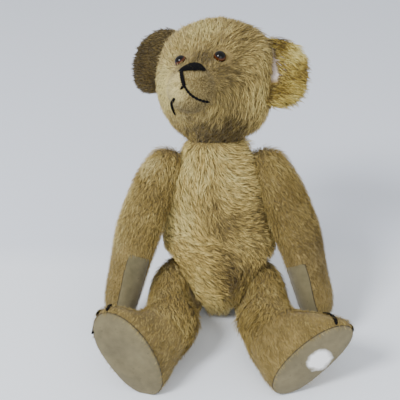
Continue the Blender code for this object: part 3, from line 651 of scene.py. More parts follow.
def closedGrid(points, uvs=None):
    # a grid of rows round an axis, each end row drawn together into one point, facing outwards
    rows, columns = points.shape[:2]
    everything = np.concatenate([points[1:-1].reshape(-1, 3), points[:1].mean(1),
                                 points[-1:].mean(1)])
    quads, index, after = gridQuads(rows - 2, columns)
    pole = np.full(columns, (rows - 2) * columns)
    fans = np.concatenate([np.stack([after[0], index[0], pole], -1),
                           np.stack([index[-1], after[-1], pole + 1], -1)])
    halves = np.concatenate([quads[:, :3], quads[:, [0, 2, 3]], fans])
    if signedVolume(everything, halves) < 0:
        quads, fans = quads[:, ::-1], fans[:, ::-1]
    if uvs is not None:
        uvs = np.concatenate([uvs[1:-1].reshape(-1, 2), uvs[:1].mean(1), uvs[-1:].mean(1)])
    return everything, quads, fans, uvs


def gridPiece(name, grids, material, uvs=None):
    # one mesh from several closed grids
    points, quads, fans, start = [], [], [], 0
    for grid in grids:
        gridPoints, gridFaces, gridFans, pieceUvs = closedGrid(grid, uvs)
        points.append(gridPoints)
        quads.append(gridFaces + start)
        fans.append(gridFans + start)
        start += len(gridPoints)
    return makeMesh(name, np.concatenate(points), np.concatenate(quads), np.concatenate(fans),
                    pieceUvs, material)


def place(piece, bodyName, slot, nodes=(), fill=None):
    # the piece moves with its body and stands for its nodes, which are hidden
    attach(piece, bodyName)
    if nodes:
        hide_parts(*nodes)


def pileDepth(points, hair):
    # how far the backing lies under the form: little where it is flush at a joint, or clipped
    deeper = hair["sink"] * mm - body["skinSink"]
    return (body["skinSink"] + deeper * hair["flush"](points))[..., None]


def skinPiece(name, form, material, hair):
    # the cloth: every other row and column of the form, sunk by the depth of the pile
    points = form["points"] - form["normals"] * pileDepth(form["points"], hair)
    points[..., 2] = np.maximum(points[..., 2], 0.0)
    return gridPiece(name, [points[::2, ::2]], material)


def scatter(form, count, density, rng):
    # roots spread evenly over the grid's cells by area times density
    points, normals = form["points"], form["normals"]
    nextPoints, nextNormals = np.roll(points, -1, 1), np.roll(normals, -1, 1)
    corners = (points[:-1], nextPoints[:-1], nextPoints[1:], points[1:])
    cornerNormals = (normals[:-1], nextNormals[:-1], nextNormals[1:], normals[1:])
    area = np.linalg.norm(np.cross(corners[2] - corners[0], corners[3] - corners[1]), axis=-1)
    steps = np.cumsum((area * density(sum(corners) / 4)).ravel())
    picks = (np.arange(count) + rng.random(count)) / count * steps[-1]
    cell = np.searchsorted(steps, picks).clip(0, steps.size - 1)
    across, along = rng.random(count)[:, None], rng.random(count)[:, None]
    shares = ((1 - across) * (1 - along), across * (1 - along), across * along,
              (1 - across) * along)
    root = sum(share * corner.reshape(-1, 3)[cell] for share, corner in zip(shares, corners))
    out = sum(share * corner.reshape(-1, 3)[cell]
              for share, corner in zip(shares, cornerNormals))
    return root, unit(out)


# what every fibre shares: the parts of its length, how its length and width vary, how deep it is
# rooted, and how it waves and leans on its lock
fibre = {"parts": (0.45, 0.55), "least": 0.7, "vary": 0.6, "leastTrim": 0.04, "rooted": 0.3,
         "phaseVary": 0.15, "waveStep": 2.2, "mostPull": 0.7, "kneePull": 0.35, "narrowest": 0.6,
         "height": 0.35, "straySize": 2.0, "patchSize": 18, "tones": (0.02, 0.98), "uvWidth": 0.004}
# a spindle is its root, three points round its belly and its tip; a spike has three points at
# its foot and its tip; "up" is each point's v
spindle = {"faces": [[0, 2, 1], [0, 3, 2], [0, 1, 3], [4, 1, 2], [4, 2, 3], [4, 3, 1]],
           "up": [0.0, 0.55, 0.55, 0.6, 1.0]}
spike = {"faces": [[0, 1, 3], [1, 2, 3], [2, 0, 3], [2, 1, 0]], "up": [0.3, 0.3, 0.3, 1.0]}


def combed(points, normals, hair):
    # each stroke of the comb pulls the pile its way around its place; noise ruffles it
    way = np.zeros_like(points) + unit(np.array(hair["fall"], float)) * hair["fallShare"]
    for where, stroke, reach in hair["strokes"]:
        way = way + near(points, where, reach)[..., None] * unit(np.array(stroke, float))
    way = unit(way)
    way = way + hair["ruffle"] * softNoise3(points, hair["ruffleSize"] * mm, noiseSeeds["ruffle"])
    way = way + hair["stray"] * softNoise3(points, fibre["straySize"] * mm, noiseSeeds["stray"])
    return unit(way - (way * normals).sum(-1, keepdims=True) * normals)


def lockPull(points, size, seed):
    # the way to the nearest lock's middle, one jittered middle in each cell, and its number
    cells = np.floor(points / size).astype(np.int64)
    best = np.full(len(points), np.inf)
    middle = np.zeros_like(points)
    code = np.zeros(len(points))
    for k in range(27):
        cell = cells + np.array([k % 3, k // 3 % 3, k // 9]) - 1
        jitter = np.stack([latticeValue(cell, seed + axis) for axis in range(3)], -1)
        lock = (cell + jitter) * size
        distance = ((lock - points) ** 2).sum(-1)
        closer = distance < best
        best = np.where(closer, distance, best)
        middle[closer] = lock[closer]
        code = np.where(closer, latticeValue(cell, seed + 3), code)
    return middle - points, code


def evenDensity(points):
    # the same everywhere
    return 1.0


def fibreLines(root, out, trim, hair, rng):
    # the root, knee and tip of each fibre: it leaves the root at the first lift and lies down at
    # the second, its knee and tip drawn towards the middle of its lock
    count = len(root)
    way = combed(root, out, hair)
    side = np.cross(out, way)
    pull, code = lockPull(root, hair["lock"] * mm, noiseSeeds["lock"])
    pull = pull - (pull * out).sum(-1, keepdims=True) * out
    length = hair["length"] * mm * trim * (fibre["least"] + fibre["vary"] * rng.random(count))
    for where, reach, extra in hair["grown"]:
        length = length * (1 + extra * near(root, where, reach))
    spread = np.radians(hair["liftSpread"]) * rng.standard_normal(count)
    phase = 2 * math.pi * (code + fibre["phaseVary"] * rng.random(count))
    line = [root - out * (pileDepth(root, hair) + fibre["rooted"] * mm)]
    for k, (degrees, part) in enumerate(zip(hair["lift"], fibre["parts"])):
        lift = (math.radians(degrees) + spread)[:, None]
        bend = (hair["wave"] * np.sin(phase + fibre["waveStep"] * k))[:, None]
        heading = unit(way * np.cos(lift) + out * np.sin(lift) + side * bend)
        line.append(line[-1] + heading * (length * part)[:, None])
    most = fibre["mostPull"] * length / (hair["lock"] * mm)
    gather = np.minimum(hair["gather"], most)[:, None]
    line[1] += pull * gather * fibre["kneePull"]
    line[2] += pull * gather
    return line, side, code


def fibreTones(root, code, hair, rng):
    # a fibre's tone: its lock's and its own, soft patches, and the tone spots round their places,
    # some of which are painted light and shade
    tone = hair["tone"] + hair["lockTone"] * (code - 0.5)
    tone = tone + hair["toneSpread"] * rng.standard_normal(len(root))
    patches = softNoise(root, fibre["patchSize"] * mm, noiseSeeds["patch"]) - 0.5
    tone = tone + hair["patch"] * patches
    for where, reach, change in hair["tonesAndPaintedLight"]:
        tone = tone + change * near(root, where, reach)
    return np.clip(tone, *fibre["tones"])


def growPile(name, form, hair, material):
    # fibres along their lines: a long one is a spindle, thin at both ends, and a short one a spike
    rng = np.random.default_rng(body["seed"] + len(name))
    root, out = scatter(form, hair["count"], hair["density"], rng)
    trim = hair["trim"](root)
    keep = trim > fibre["leastTrim"]
    root, out, trim = root[keep], out[keep], trim[keep]
    count = len(root)
    line, side, code = fibreLines(root, out, trim, hair, rng)
    wide = hair["width"] * mm * (fibre["least"] + fibre["vary"] * rng.random(count))
    wide = (wide * np.clip(trim, fibre["narrowest"], 1))[:, None]
    foot = line[1] if hair["long"] else line[0]
    ring = [foot - side * 0.5 * wide, foot + side * 0.5 * wide,
            foot + out * fibre["height"] * wide]
    shape = spindle if hair["long"] else spike
    points = np.stack((line[:1] if hair["long"] else []) + ring + line[2:], 1)
    points[..., 2] = np.maximum(points[..., 2], body["floorGap"])
    tone = fibreTones(root, code, hair, rng)
    size = points.shape[1]
    across = np.linspace(0.0, fibre["uvWidth"], size)
    uvs = np.stack(np.broadcast_arrays(tone[:, None] + across, np.array(shape["up"])), -1)
    faces = np.array(shape["faces"])
    triangles = (faces[None] + (size * np.arange(count))[:, None, None]).reshape(-1, 3)
    if signedVolume(points[0], faces) < 0:
        triangles = triangles[:, ::-1]
    pile = makeMesh(name, points.reshape(-1, 3), triangles=triangles, uvs=uvs.reshape(-1, 2),
                    material=material)
    print(name, "fibres", count, "triangles", len(triangles))
    return pile


def jointClear(points, joint):
    # 0 where a limb lies against the body at this joint, 1 clear of it
    offset = points - np.array(jointPlace(joint))
    out = np.array(jointOut(joint))
    height = offset @ out
    radial = np.linalg.norm(offset - height[..., None] * out, axis=-1)
    flush = 1 - smoothStep(*bareEdge["height"], np.abs(height))
    reach = bareReach[kindOf(joint)]
    return 1 - flush * (1 - smoothStep(reach * mm, (reach + bareEdge["fade"]) * mm, radial))


def overFloor(points, least, low, high):
    # the pile is pressed short near the floor: the least share at the low height, all at the high
    return shareFrom(least, smoothStep(low * mm, high * mm, points[..., 2]))


def toLocal(points, matrix):
    # in the piece's own frame, in mm
    return toWorld(points, matrix.inverted()) / mm


# what a piece's pile is like where the piece doesn't say otherwise: sizes in mm, lifts in degrees
# at the root and at the tip, tones from 0 for dark to 1 for pale
mohair = {"long": True, "width": 0.65, "liftSpread": 7, "wave": 0.35, "lock": 5.5, "gather": 0.55,
          "ruffle": 0.7, "ruffleSize": 14, "stray": 0.4, "lockTone": 0.26, "toneSpread": 0.1,
          "patch": 0.2, "fallShare": 0.08, "grown": [], "density": evenDensity, "fill": 0.9}
underCoat = {"long": False, "length": 7.0, "width": 0.75, "lift": (26, 26), "gather": 0.3}


def dress(name, bodyName, slot, form, hair, backing, finish, node):
    # the cloth, which stands for its node, then a dense short coat under a longer one
    place(skinPiece(name + "Skin", form, backing, hair), bodyName, slot, [node], hair["fill"])
    under = {**hair, **underCoat, **hair["under"]}
    place(growPile(name + "Underpile", form, under, finish), bodyName, slot)
    place(growPile(name + "Pile", form, hair, finish), bodyName, slot)


# torso: the longest pile, worn into a whorl on the belly. "grown" makes it longer or shorter round
# a place, "strokes" comb it one way there, and the tone spots make it paler or darker there, some
# of them as painted light and shade
torso = {
    "count": 20200, "length": 14.5, "width": 0.7, "lift": (24, -2), "liftSpread": 6, "sink": 1.4,
    "lock": 6.5, "gather": 0.6, "ruffleSize": 16, "stray": 0.35, "tone": 0.6,
    "fall": (0, -0.1, -1), "floor": (0.25, 2, 14), "under": {"count": 25000, "tone": 0.5},
    "grown": [((-46, 2, 206), 16, 0.5), ((44, 2, 206), 16, 0.5), ((60, -22, 88), 26, -0.6),
              ((-60, -22, 88), 26, -0.5)],
    "strokes": [((-48, 0, 206), (-1, 0, -0.1), 14), ((46, 0, 206), (1, 0, -0.1), 14),
                ((-35, -15, 190), (-0.25, -0.3, -1), 26), ((-8, -30, 185), (0.05, -0.3, -1), 16),
                ((18, -25, 195), (1, 0.1, 0.1), 24), ((32, -25, 165), (1, 0.2, 0.1), 26),
                ((-8, -38, 165), (-0.15, -0.3, -1), 14), ((8, -38, 165), (1, 0, -0.1), 16),
                ((-45, -25, 160), (0.45, -0.5, -0.85), 24),
                ((-55, -25, 125), (0.9, -0.5, -0.3), 26),
                ((-26, -44, 131), (0.55, -0.3, -0.8), 18), ((-6, -47, 136), (0, -0.2, -1), 14),
                ((15, -45, 140), (1.0, 0.1, 0.0), 18), ((38, -40, 126), (0.9, 0.3, -0.2), 24),
                ((-40, -45, 100), (1.0, -0.3, 0), 22), ((-10, -56, 105), (1.0, 0, 0.0), 18),
                ((15, -56, 105), (0.6, 0, -0.8), 18), ((40, -45, 95), (0.3, 0.2, -0.95), 22),
                ((-30, -55, 75), (0.8, -0.2, -0.4), 20), ((0, -64, 75), (1.0, 0, -0.1), 18),
                ((25, -58, 72), (-0.5, 0, -0.85), 20), ((-12, -58, 45), (1.0, 0, -0.1), 18),
                ((5, -55, 32), (0.2, 0.4, -0.9), 16), ((0, 50, 150), (0, 0.1, -1), 44)],
    # partly painted light and shade: the chest, belly and side towards the key light (-x) are
    # painted paler and the far side (+x) darker; the whorl and the seam lines are the cloth's own
    # tone
    "tonesAndPaintedLight": [((4, -48, 134), 19, -0.36), ((-25, -20, 190), 30, 0.2), ((-46, -30, 130), 24, 0.36),
               ((20, -25, 180), 26, 0.16), ((12, -62, 74), 21, -0.55), ((60, -25, 110), 26, -0.08),
               ((-62, -10, 105), 24, 0.3), ((0, -50, 25), 18, 0.3), ((-24, -56, 62), 20, 0.14),
               ((-35, -15, 195), 20, 0.14), ((-7, -35, 184), 5, -0.35), ((-7, -37, 174), 5, -0.35),
               ((-7, -39, 164), 5, -0.35), ((-6, -42, 154), 5, -0.3), ((6, -56, 98), 4, -0.3),
               ((6, -60, 88), 4, -0.3), ((6, -61, 52), 4, -0.3), ((5, -58, 42), 4, -0.3)],
}


def torsoFlush(points):
    # 0 where the head or a limb lies against the torso, 1 clear of them all
    clear = jointClear(points, "neck")
    for s in sides:
        clear = clear * jointClear(points, s + "_shoulder")
        clear = clear * jointClear(points, s + "_hip")
    return clear


def torsoTrim(points):
    # none at the joints, and short near the floor
    return torsoFlush(points) * overFloor(points, *torso["floor"])


torsoHair = {**mohair, **torso, "flush": torsoFlush, "trim": torsoTrim}
dress("torso", "torso", "mohair", forms["torso"], torsoHair, bodyBacking, bodyPile, "torso_cover")

# head: pile brushed back from the brow, clipped short on the muzzle and round the eyes
head = {
    "count": 17500, "length": 11.5, "lift": (24, 0), "sink": 1.8, "tone": 0.54,
    "fall": (0, 0.2, -1), "under": {"count": 21500, "tone": 0.46, "length": 6.5},
    "grown": [((-50, 25, 318), 24, 0.4), ((45, 14, 316), 18, 0.3), ((-15, 30, 332), 26, -0.15),
              ((-60, -15, 272), 26, -0.55)],
    "strokes": [((-20, -25, 312), (0.35, 0.6, 0.6), 20), ((-37, 10, 317), (0.3, 0.8, 0.4), 22),
                ((0, -5, 318), (0.5, 0.7, 0.3), 22), ((-21, 36, 328), (0.2, 0.9, -0.1), 28),
                ((21, 9, 320), (0.7, 0.5, -0.3), 22), ((15, -26, 300), (0.6, 0.5, -0.6), 18),
                ((30, -22, 290), (0.2, 0.2, -0.95), 20), ((20, -34, 275), (0, -0.1, -1), 18),
                ((20, -34, 262), (-0.5, -0.2, -0.8), 20), ((37, -15, 262), (-0.35, 0.1, -0.9), 24),
                ((5, -38, 245), (-0.6, 0.1, -0.75), 22), ((-21, -40, 245), (-0.1, 0.3, -0.95), 18),
                ((-45, -30, 255), (0, 0.3, -0.95), 18), ((-55, -5, 285), (-0.2, 0.3, -0.9), 22),
                ((-52, 5, 305), (-0.5, 0.6, 0.4), 20), ((50, -5, 285), (-0.1, 0.1, -1), 18),
                ((48, -5, 262), (-0.7, 0, -0.7), 20), ((30, -26, 278), (-0.3, -0.1, -0.95), 16),
                ((0, 85, 265), (0, 0.2, -1), 44)],
    # partly painted light and shade: the cheek and muzzle side towards the key light (-x) are
    # painted paler, and the chin and the gap where the left ear meets the head are painted darker;
    # the other spots are the pile's own tone
    "tonesAndPaintedLight": [((-20, 30, 330), 30, 0.34), ((-62, -8, 275), 28, 0.8), ((0, -25, 230), 28, -0.54),
               ((24, -26, 244), 20, -0.07), ((-42, -50, 300), 12, 0.4), ((8, -34, 306), 24, -0.26),
               ((-15, -22, 312), 18, -0.22), ((58, 19, 313), 8, -0.7), ((40, -12, 272), 26, 0.22),
               ((55, 0, 262), 10, -0.4)],
    "muzzle": (69, 88), "eyeRadius": 6.6, "eyeGap": 0.6, "eyeTrim": 0.2, "eyeFade": (7, 16),
}
muzzle = {"count": 9500, "length": 3.6, "width": 0.6, "lift": (50, 50), "liftSpread": 14,
          "gather": 0.1, "stray": 1.5, "tone": 0.37, "lockTone": 0.1, "toneSpread": 0.16,
          "patch": 0.25, "long": False, "fullAt": 0.8,
          # painted light: the muzzle's side towards the key light is painted pale cream, and it is
          # a little darker below
          "tonesAndPaintedLight": [((-45, -54, 291), 15, 0.95), ((-26, -54, 272), 13, -0.14)]}


def middleOf(node):
    # the middle of a node's box
    low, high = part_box(node)
    return (np.array(low) + np.array(high)) / 2


eyeMiddle = {s: middleOf(s + "_eye") for s in sides}


def headFlush(points):
    # 0 where the head lies against the torso
    return jointClear(points, "neck")


def muzzleShare(points):
    # 0 on the skull, 1 on the clipped front of the muzzle
    return smoothStep(*head["muzzle"], -toLocal(points, headMatrix)[..., 1])


def eyeRoom(points):
    # no pile on the glass, and short pile round it
    room = 1.0
    for s in sides:
        away = np.linalg.norm(points - eyeMiddle[s], axis=-1) / mm
        clear = away > head["eyeRadius"] + head["eyeGap"]
        room = room * clear * shareFrom(head["eyeTrim"], smoothStep(*head["eyeFade"], away))
    return room


def headTrim(points):
    # none at the neck, the eyes and the muzzle, which has a coat of its own
    return headFlush(points) * eyeRoom(points) * (1 - muzzleShare(points))


def muzzleTrim(points):
    # all of it on the front of the muzzle, and none on the eyes
    return smoothStep(0.0, muzzle["fullAt"], muzzleShare(points)) * eyeRoom(points)


def muzzleDensity(points):
    # roots only where there is pile, and just above 0 elsewhere so that their sum keeps rising
    return muzzleTrim(points) + 1e-6


headHair = {**mohair, **head, "flush": headFlush, "trim": headTrim}
dress("head", "head", "mohair", forms["head"], headHair, bodyBacking, headPile, "head_cover")
muzzleHair = {**headHair, **muzzle, "trim": muzzleTrim, "density": muzzleDensity}
place(growPile("muzzlePile", forms["head"], muzzleHair, muzzlePile), "head", "mohair")

# ears: a cupped lens of two layers, with its root inside the head
earShape = {
    "height": 75, "thickness": 7.5, "cup": 8,
    "profile": [(0, 0), (0.45, 1), (0.85, 0.85), (1.0, 0), (0.85, -0.85), (0.45, -1), (0, 0)],
    "left": {"centre": (64, 1, 16), "out": (0.98, 0.10, -0.10), "up": (0.05, 0.10, 1.0)},
    "right": {"centre": (-62, 7, 23), "out": (-0.92, 0.25, 0.12), "up": (0.05, 0.10, 0.95)},
}
earHair = {
    "ruffleSize": 12, "sink": 0.9, "fallShare": 1.0, "strokes": [], "fill": 0.5, "droop": -0.3,
    "rootFade": (-3, 1),
    "left": {"count": 6500, "length": 14.0, "width": 0.6, "lift": (20, -6), "liftSpread": 6,
             "wave": 0.3, "lock": 5.0, "gather": 0.42, "ruffle": 0.3, "tone": 0.56,
             "lockTone": 0.24, "under": {"count": 7500, "tone": 0.22, "length": 6.0},
             "grown": [((95, 0, 290), 22, -0.45), ((80, 5, 262), 16, -0.2)],
             # painted shade in the gap where the ear meets the head at its top; the other spots are
             # paler and darker patches of the pile
             "tonesAndPaintedLight": [((60, 20, 314), 6, -0.6), ((64, 0, 262), 10, -0.35),
                        ((78, 14, 308), 12, 0.4), ((84, 8, 286), 12, -0.22)]},
    "right": {"count": 5500, "length": 6.5, "lift": (30, 8), "liftSpread": 12, "wave": 0.15,
              "lock": 4.0, "gather": 0.3, "ruffle": 0.6, "stray": 0.6, "tone": 0.5,
              "lockTone": 0.16, "toneSpread": 0.12,
              "under": {"count": 7000, "tone": 0.42, "length": 4.5},
              # painted light and shade: the ear's upper part is painted paler and its lower part
              # darker
              "tonesAndPaintedLight": [((-70, 60, 262), 30, -0.15), ((-60, 45, 306), 22, 0.4)]},
}
# where the left ear is rubbed bare beside the head: between two heights, out to a reach, mm
rubbed = {"low": 277, "high": 308, "fade": 4, "reach": 6.0, "edge": 1, "ragged": 2.5,
          "raggedSize": 3}


def earMatrix(s):
    # x runs out from the head, y up the ear and z out of its hollow front
    shape = earShape[s]
    out = Vector(shape["out"]).normalized()
    up = Vector(shape["up"])
    up = (up - out * up.dot(out)).normalized()
    across = sides[s] * out
    matrix = Matrix((across, up, across.cross(up))).transposed().to_4x4()
    matrix.translation = Vector(shape["centre"]) * mm
    return headMatrix @ matrix


def earForm(s):
    # rings of the lens from the middle of its front, round the rim, to the middle of its back
    profile = np.array(earShape["profile"])
    heights = profile[:, 1].copy()
    heights[0], heights[-1] = 1, -1
    segments = body["segments"]["ear"]
    angle = circleAngles(segments)
    reach = profile[:, :1] * earShape["height"] / 2 * ringSwell(segments)
    z = heights * earShape["thickness"] / 2 + earShape["cup"] * profile[:, 0] ** 2
    cage = np.stack(np.broadcast_arrays(reach * np.cos(angle), reach * np.sin(angle),
                                        z[:, None]), -1) * mm
    return softForm(s + "_ear", cage, earMatrix(s), [])


def outsideHead(points):
    # mm from the head's surface, from the ring table: how far past its ellipse a point lies
    local = toLocal(points, headMatrix)
    table = np.array(headRings[1:-1], float)
    along = -local[..., 1]
    halfWidth, halfDepth, depth = (np.interp(along, table[:, 0], table[:, k]) for k in (2, 3, 4))
    share = np.hypot(local[..., 0] / halfWidth, (local[..., 2] - depth) / halfDepth)
    return (share - 1) * (halfWidth + halfDepth) / 2


def earTrim(points, s):
    # nothing inside the head, and on the left ear none where only the backing is left
    outside, height = outsideHead(points), points[..., 2] / mm
    trim = smoothStep(*earHair["rootFade"], outside)
    if s == "left":
        low, high, fade = rubbed["low"], rubbed["high"], rubbed["fade"]
        band = smoothStep(low - fade, low, height) * (1 - smoothStep(high, high + fade, height))
        rough = softNoise(points, rubbed["raggedSize"] * mm, noiseSeeds["ear"]) - 0.5
        outside = outside + rubbed["ragged"] * rough
        start, end = rubbed["reach"] - rubbed["edge"], rubbed["reach"] + rubbed["edge"]
        trim = trim * (1 - band * (1 - smoothStep(start, end, outside)))
    return trim


def wholeForm(points):
    # 1 everywhere
    return np.ones(points.shape[:-1])


# the right ear's darker pile and backing are painted shade; the left ear's are its mohair's own
# colour
earFinish = {"left": (goldBacking, goldPile), "right": (shadedBrownBacking, shadedOlivePile)}
for s, side in sides.items():
    forms[s + "_ear"] = earForm(s)
    outwards = side * np.array(earMatrix(s).to_3x3().col[0])
    hair = {**mohair, **earHair, **earHair[s], "flush": wholeForm,
            "trim": lambda points, s=s: earTrim(points, s),
            "fall": outwards + np.array((0, 0, earHair["droop"]))}
    dress(s + "Ear", "head", "ear_mohair", forms[s + "_ear"], hair, *earFinish[s], s + "_ear")

# arms: short worn pile, with a felt pad on each paw
arm = {
    "count": 9500, "length": 9.0, "width": 0.62, "lift": (36, 6), "liftSpread": 9, "sink": 0.7,
    "wave": 0.3, "lock": 4.5, "gather": 0.45, "ruffle": 0.6, "stray": 0.5, "tone": 0.5,
    "lockTone": 0.22, "patch": 0.3, "fallShare": 0.6,
    "under": {"count": 11500, "tone": 0.44, "length": 5.5},
    "grown": [((-52, 0, 188), 24, 0.5), ((50, 0, 188), 24, 0.5)],
    "strokes": {"left": [((87, -62, 119), (0.8, -0.1, -0.55), 22),
                         ((76, -47, 148), (0.6, -0.2, -0.75), 20)], "right": []},
    # partly painted light and shade: the right arm's shoulder and outer side, towards the key
    # light, are painted paler, and the left arm's lower part darker
    "tonesAndPaintedLight": {"left": [((90, -62, 120), 34, -0.2), ((112, -66, 90), 30, -0.18)],
               "right": [((-80, -30, 130), 22, -0.14), ((-74, -12, 188), 17, 0.4),
                         ((-98, -24, 148), 20, 0.16), ((-108, -45, 118), 22, 0.26)]},
    "worn": (-100, -60), "wornTrim": 0.6,
}
pawPad = {"top": {"left": -103, "right": -93}, "turn": {"left": 26, "right": 14}, "end": -182,
          "halfWidth": 13.0, "centre": 19, "thickness": 1.5, "lean": {"left": 8, "right": 7},
          "arch": [(0.0, 0.0), (0.82, 0.004), (1.0, 0.03), (1.06, 0.2), (1.0, 0.5), (0.85, 1.0)],
          "feltEnd": -171, "topInset": 0.6, "sideInset": 0.3, "trimInset": 0.2, "sunk": 0.8,
          "grid": (60, 48), "acrossPower": 0.7, "liftPower": 0.6, "endFade": (-1, 10),
          "faceFrom": -4}


def padMatrix(s):
    # z faces out of the pad, inwards and forwards from the arm's middle line, and y is up it
    turned = math.radians(pawPad["turn"][s])
    facing = Vector((-sides[s] * math.sin(turned), -math.cos(turned), 0))
    matrix = Matrix((Vector((0, 0, 1)).cross(facing), (0, 0, 1), facing)).transposed().to_4x4()
    matrix.translation = (sides[s] * pawPad["centre"] * mm, 0, 0)
    return armMatrix[s] @ matrix


def padShare(s, up):
    # how far down the pad this height is, from 0 at its top to 1 at its end
    return (pawPad["top"][s] - up) / (pawPad["top"][s] - pawPad["end"])


def padHalfWidth(s, up):
    # half of the pad's width at this height: its arch, read by the share of its length
    arch = np.array(pawPad["arch"])
    return pawPad["halfWidth"] * np.interp(padShare(s, up), arch[:, 1], arch[:, 0], left=0.0)


def padMiddle(s, up):
    # how far the pad's middle is set out from the arm's line at this height, as it leans
    return sides[s] * pawPad["lean"][s] * (0.5 - np.clip(padShare(s, up), 0, 1))


def armTrim(points, s):
    # none on the felt, and shorter where the fore-arm is worn
    local = toLocal(points, padMatrix(s))
    aside = np.abs(local[..., 0] - padMiddle(s, local[..., 1]))
    half = padHalfWidth(s, local[..., 1]) - pawPad["trimInset"]
    onPad = (aside < half) & (local[..., 2] > 0)
    height = toLocal(points, armMatrix[s])[..., 2]
    return ~onPad * shareFrom(arm["wornTrim"], smoothStep(*arm["worn"], height))


def padForm(s):
    # across the pad the section is a flattened ring: x = half width * cos(a), lifted by
    # thickness * sin(a) off the arm's surface, which is read from the arm's own rings
    rows, columns = pawPad["grid"]
    local = toLocal(forms[s + "_arm"]["points"], padMatrix(s))
    ringHeights = local[..., 1].mean(1)
    top, end = pawPad["top"][s] - pawPad["topInset"], pawPad["feltEnd"]
    heights = top + (end - top) * (1 - np.cos(np.linspace(0, math.pi, rows))) / 2
    angle = circleAngles(columns)
    across = signedPower(np.cos(angle), pawPad["acrossPower"])
    lift = signedPower(np.sin(angle), pawPad["liftPower"]) * pawPad["thickness"]
    half = padHalfWidth(s, heights) - pawPad["sideInset"]
    half[-1] = half[0] = 0.0
    half = half * smoothStep(*(end + np.array(pawPad["endFade"])), heights) ** 0.5
    row = np.interp(-heights, -ringHeights, np.arange(len(ringHeights)))
    before = np.minimum(row.astype(int), len(ringHeights) - 2)
    share = (row - before)[:, None, None]
    rings = local[before] * (1 - share) + local[before + 1] * share
    sections = []
    for ring, height, width in zip(rings[..., [0, 2]], heights, half):
        ring = ring[ring[:, 1] > pawPad["faceFrom"]]
        ring = ring[np.argsort(ring[:, 0])]
        x = across * width + padMiddle(s, height)
        surface = np.interp(x, *ring.T) - pawPad["sunk"]
        sections.append(np.stack([x, np.full(columns, height), surface + lift], -1))
    return toWorld(np.array(sections) * mm, padMatrix(s))


def dressLimb(s, limb, joint, plan, trim):
    # the cloth and pile of an arm or a leg, brushed down along it and none at its joint
    name = f"{s}_{limb}"
    hair = {**mohair, **plan, "fall": pose[limb + "Way"][s], "strokes": plan["strokes"][s],
            "tonesAndPaintedLight": plan["tonesAndPaintedLight"][s]}
    hair["flush"] = lambda points: jointClear(points, f"{s}_{joint}")
    hair["trim"] = lambda points: hair["flush"](points) * trim(points, s)
    dress(s + limb.title(), name, "mohair", forms[name], hair, bodyBacking, limbPile,
          name + "_cover")


for s in sides:
    dressLimb(s, "arm", "shoulder", arm, armTrim)
    pad = gridPiece(s + "PawPad", [padForm(s)], padFelt)
    place(pad, s + "_arm", "felt", [s + "_paw_pad"])
print("arms")

# legs: swirled pile on the thigh and calf, clipped on the foot, and a felt sole
leg = {
    "count": 11500, "length": 12.0, "width": 0.62, "lift": (26, 2), "sink": 0.9, "ruffle": 0.5,
    "ruffleSize": 20, "tone": 0.56, "patch": 0.25, "fallShare": 0.6,
    "under": {"count": 13800, "tone": 0.46, "length": 6.5},
    "strokes": {"left": [((62, -60, 65), (0.1, -0.4, -0.9), 30),
                         ((40, -125, 50), (-0.6, -0.3, -0.7), 26)],
                "right": [((-65, -60, 62), (0.4, -0.4, -0.8), 30),
                          ((-45, -125, 45), (0.9, -0.2, 0), 26)]},
    "tonesAndPaintedLight": {"left": [((50, -140, 50), 34, -0.2)], "right": [((-30, -110, 30), 24, -0.12)]},
    "foot": (-112, -96), "footTrim": 0.6, "lowest": -152, "floor": (0.35, 1, 9),
}
soleShape = {"rows": 36, "seamHeight": 2.6, "inset": 0.992, "middle": 1.0, "halfThickness": 1.35,
             "reachPower": 0.45, "edgePower": 0.35, "bulge": 0.9, "raised": 0.6, "dentSize": 22}


def legTrim(points, s):
    # none below the felt's edge, clipped on the foot, and short near the floor
    height = toLocal(points, legMatrix[s])[..., 2]
    clipped = shareFrom(leg["footTrim"], smoothStep(*leg["foot"], height))
    return (height > leg["lowest"]) * clipped * overFloor(points, *leg["floor"])


def soleForm(s):
    # the foot's outline at the sole, scaled from its middle: out along the felt's outer face,
    # round its rolled edge and back along its inner face; the outer face bulges a little
    local = toLocal(forms[s + "_leg"]["points"], legMatrix[s])
    seamHeight = pose["soleHeight"] + soleShape["seamHeight"]
    outline = local[np.abs(local[..., 2].mean(1) - seamHeight).argmin()]
    middle = outline.mean(0)
    turned = np.linspace(0, math.pi, soleShape["rows"])
    reach = np.sin(turned) ** soleShape["reachPower"] * soleShape["inset"]
    edge = signedPower(np.cos(turned), soleShape["edgePower"]) * soleShape["halfThickness"]
    points = middle + (outline - middle) * reach[:, None, None]
    points[..., 2] = (pose["soleHeight"] + soleShape["middle"] - edge)[:, None]
    world = toWorld(points * mm, legMatrix[s])
    dents = softNoise(world, soleShape["dentSize"] * mm, noiseSeeds["sole"]) - 0.5
    outer = (np.cos(turned) > 0)[:, None] * (1 - reach[:, None] ** 4)
    down = -np.array(legMatrix[s].to_3x3().col[2])
    out = outer * soleShape["bulge"] * (soleShape["raised"] + dents)
    return world + out[..., None] * down * mm


soleFinish = {"left": rubbedFelt, "right": soleFelt}
for s in sides:
    dressLimb(s, "leg", "hip", leg, legTrim)
    sole = gridPiece(s + "Sole", [soleForm(s)], soleFinish[s])
    place(sole, s + "_leg", "felt", [s + "_sole_pad"])
print("legs")

# eyes: amber glass over a black pupil, set into the pile
eye = {"grid": (32, 48), "stops": [(0.0, (4, 3, 3)), (0.27, (5, 4, 3)), (0.31, (40, 20, 7)),
                                   (0.38, (88, 48, 18)), (0.44, (52, 28, 12)), (0.5, (22, 14, 8))]}
amberGlass, tree, shader = newMaterial("amberGlass", 0.1, Specular_IOR_Level=0.28)
tree.links.new(rampColour(tree, ownUv(tree)["Y"], eye["stops"]), shader.inputs["Base Color"])


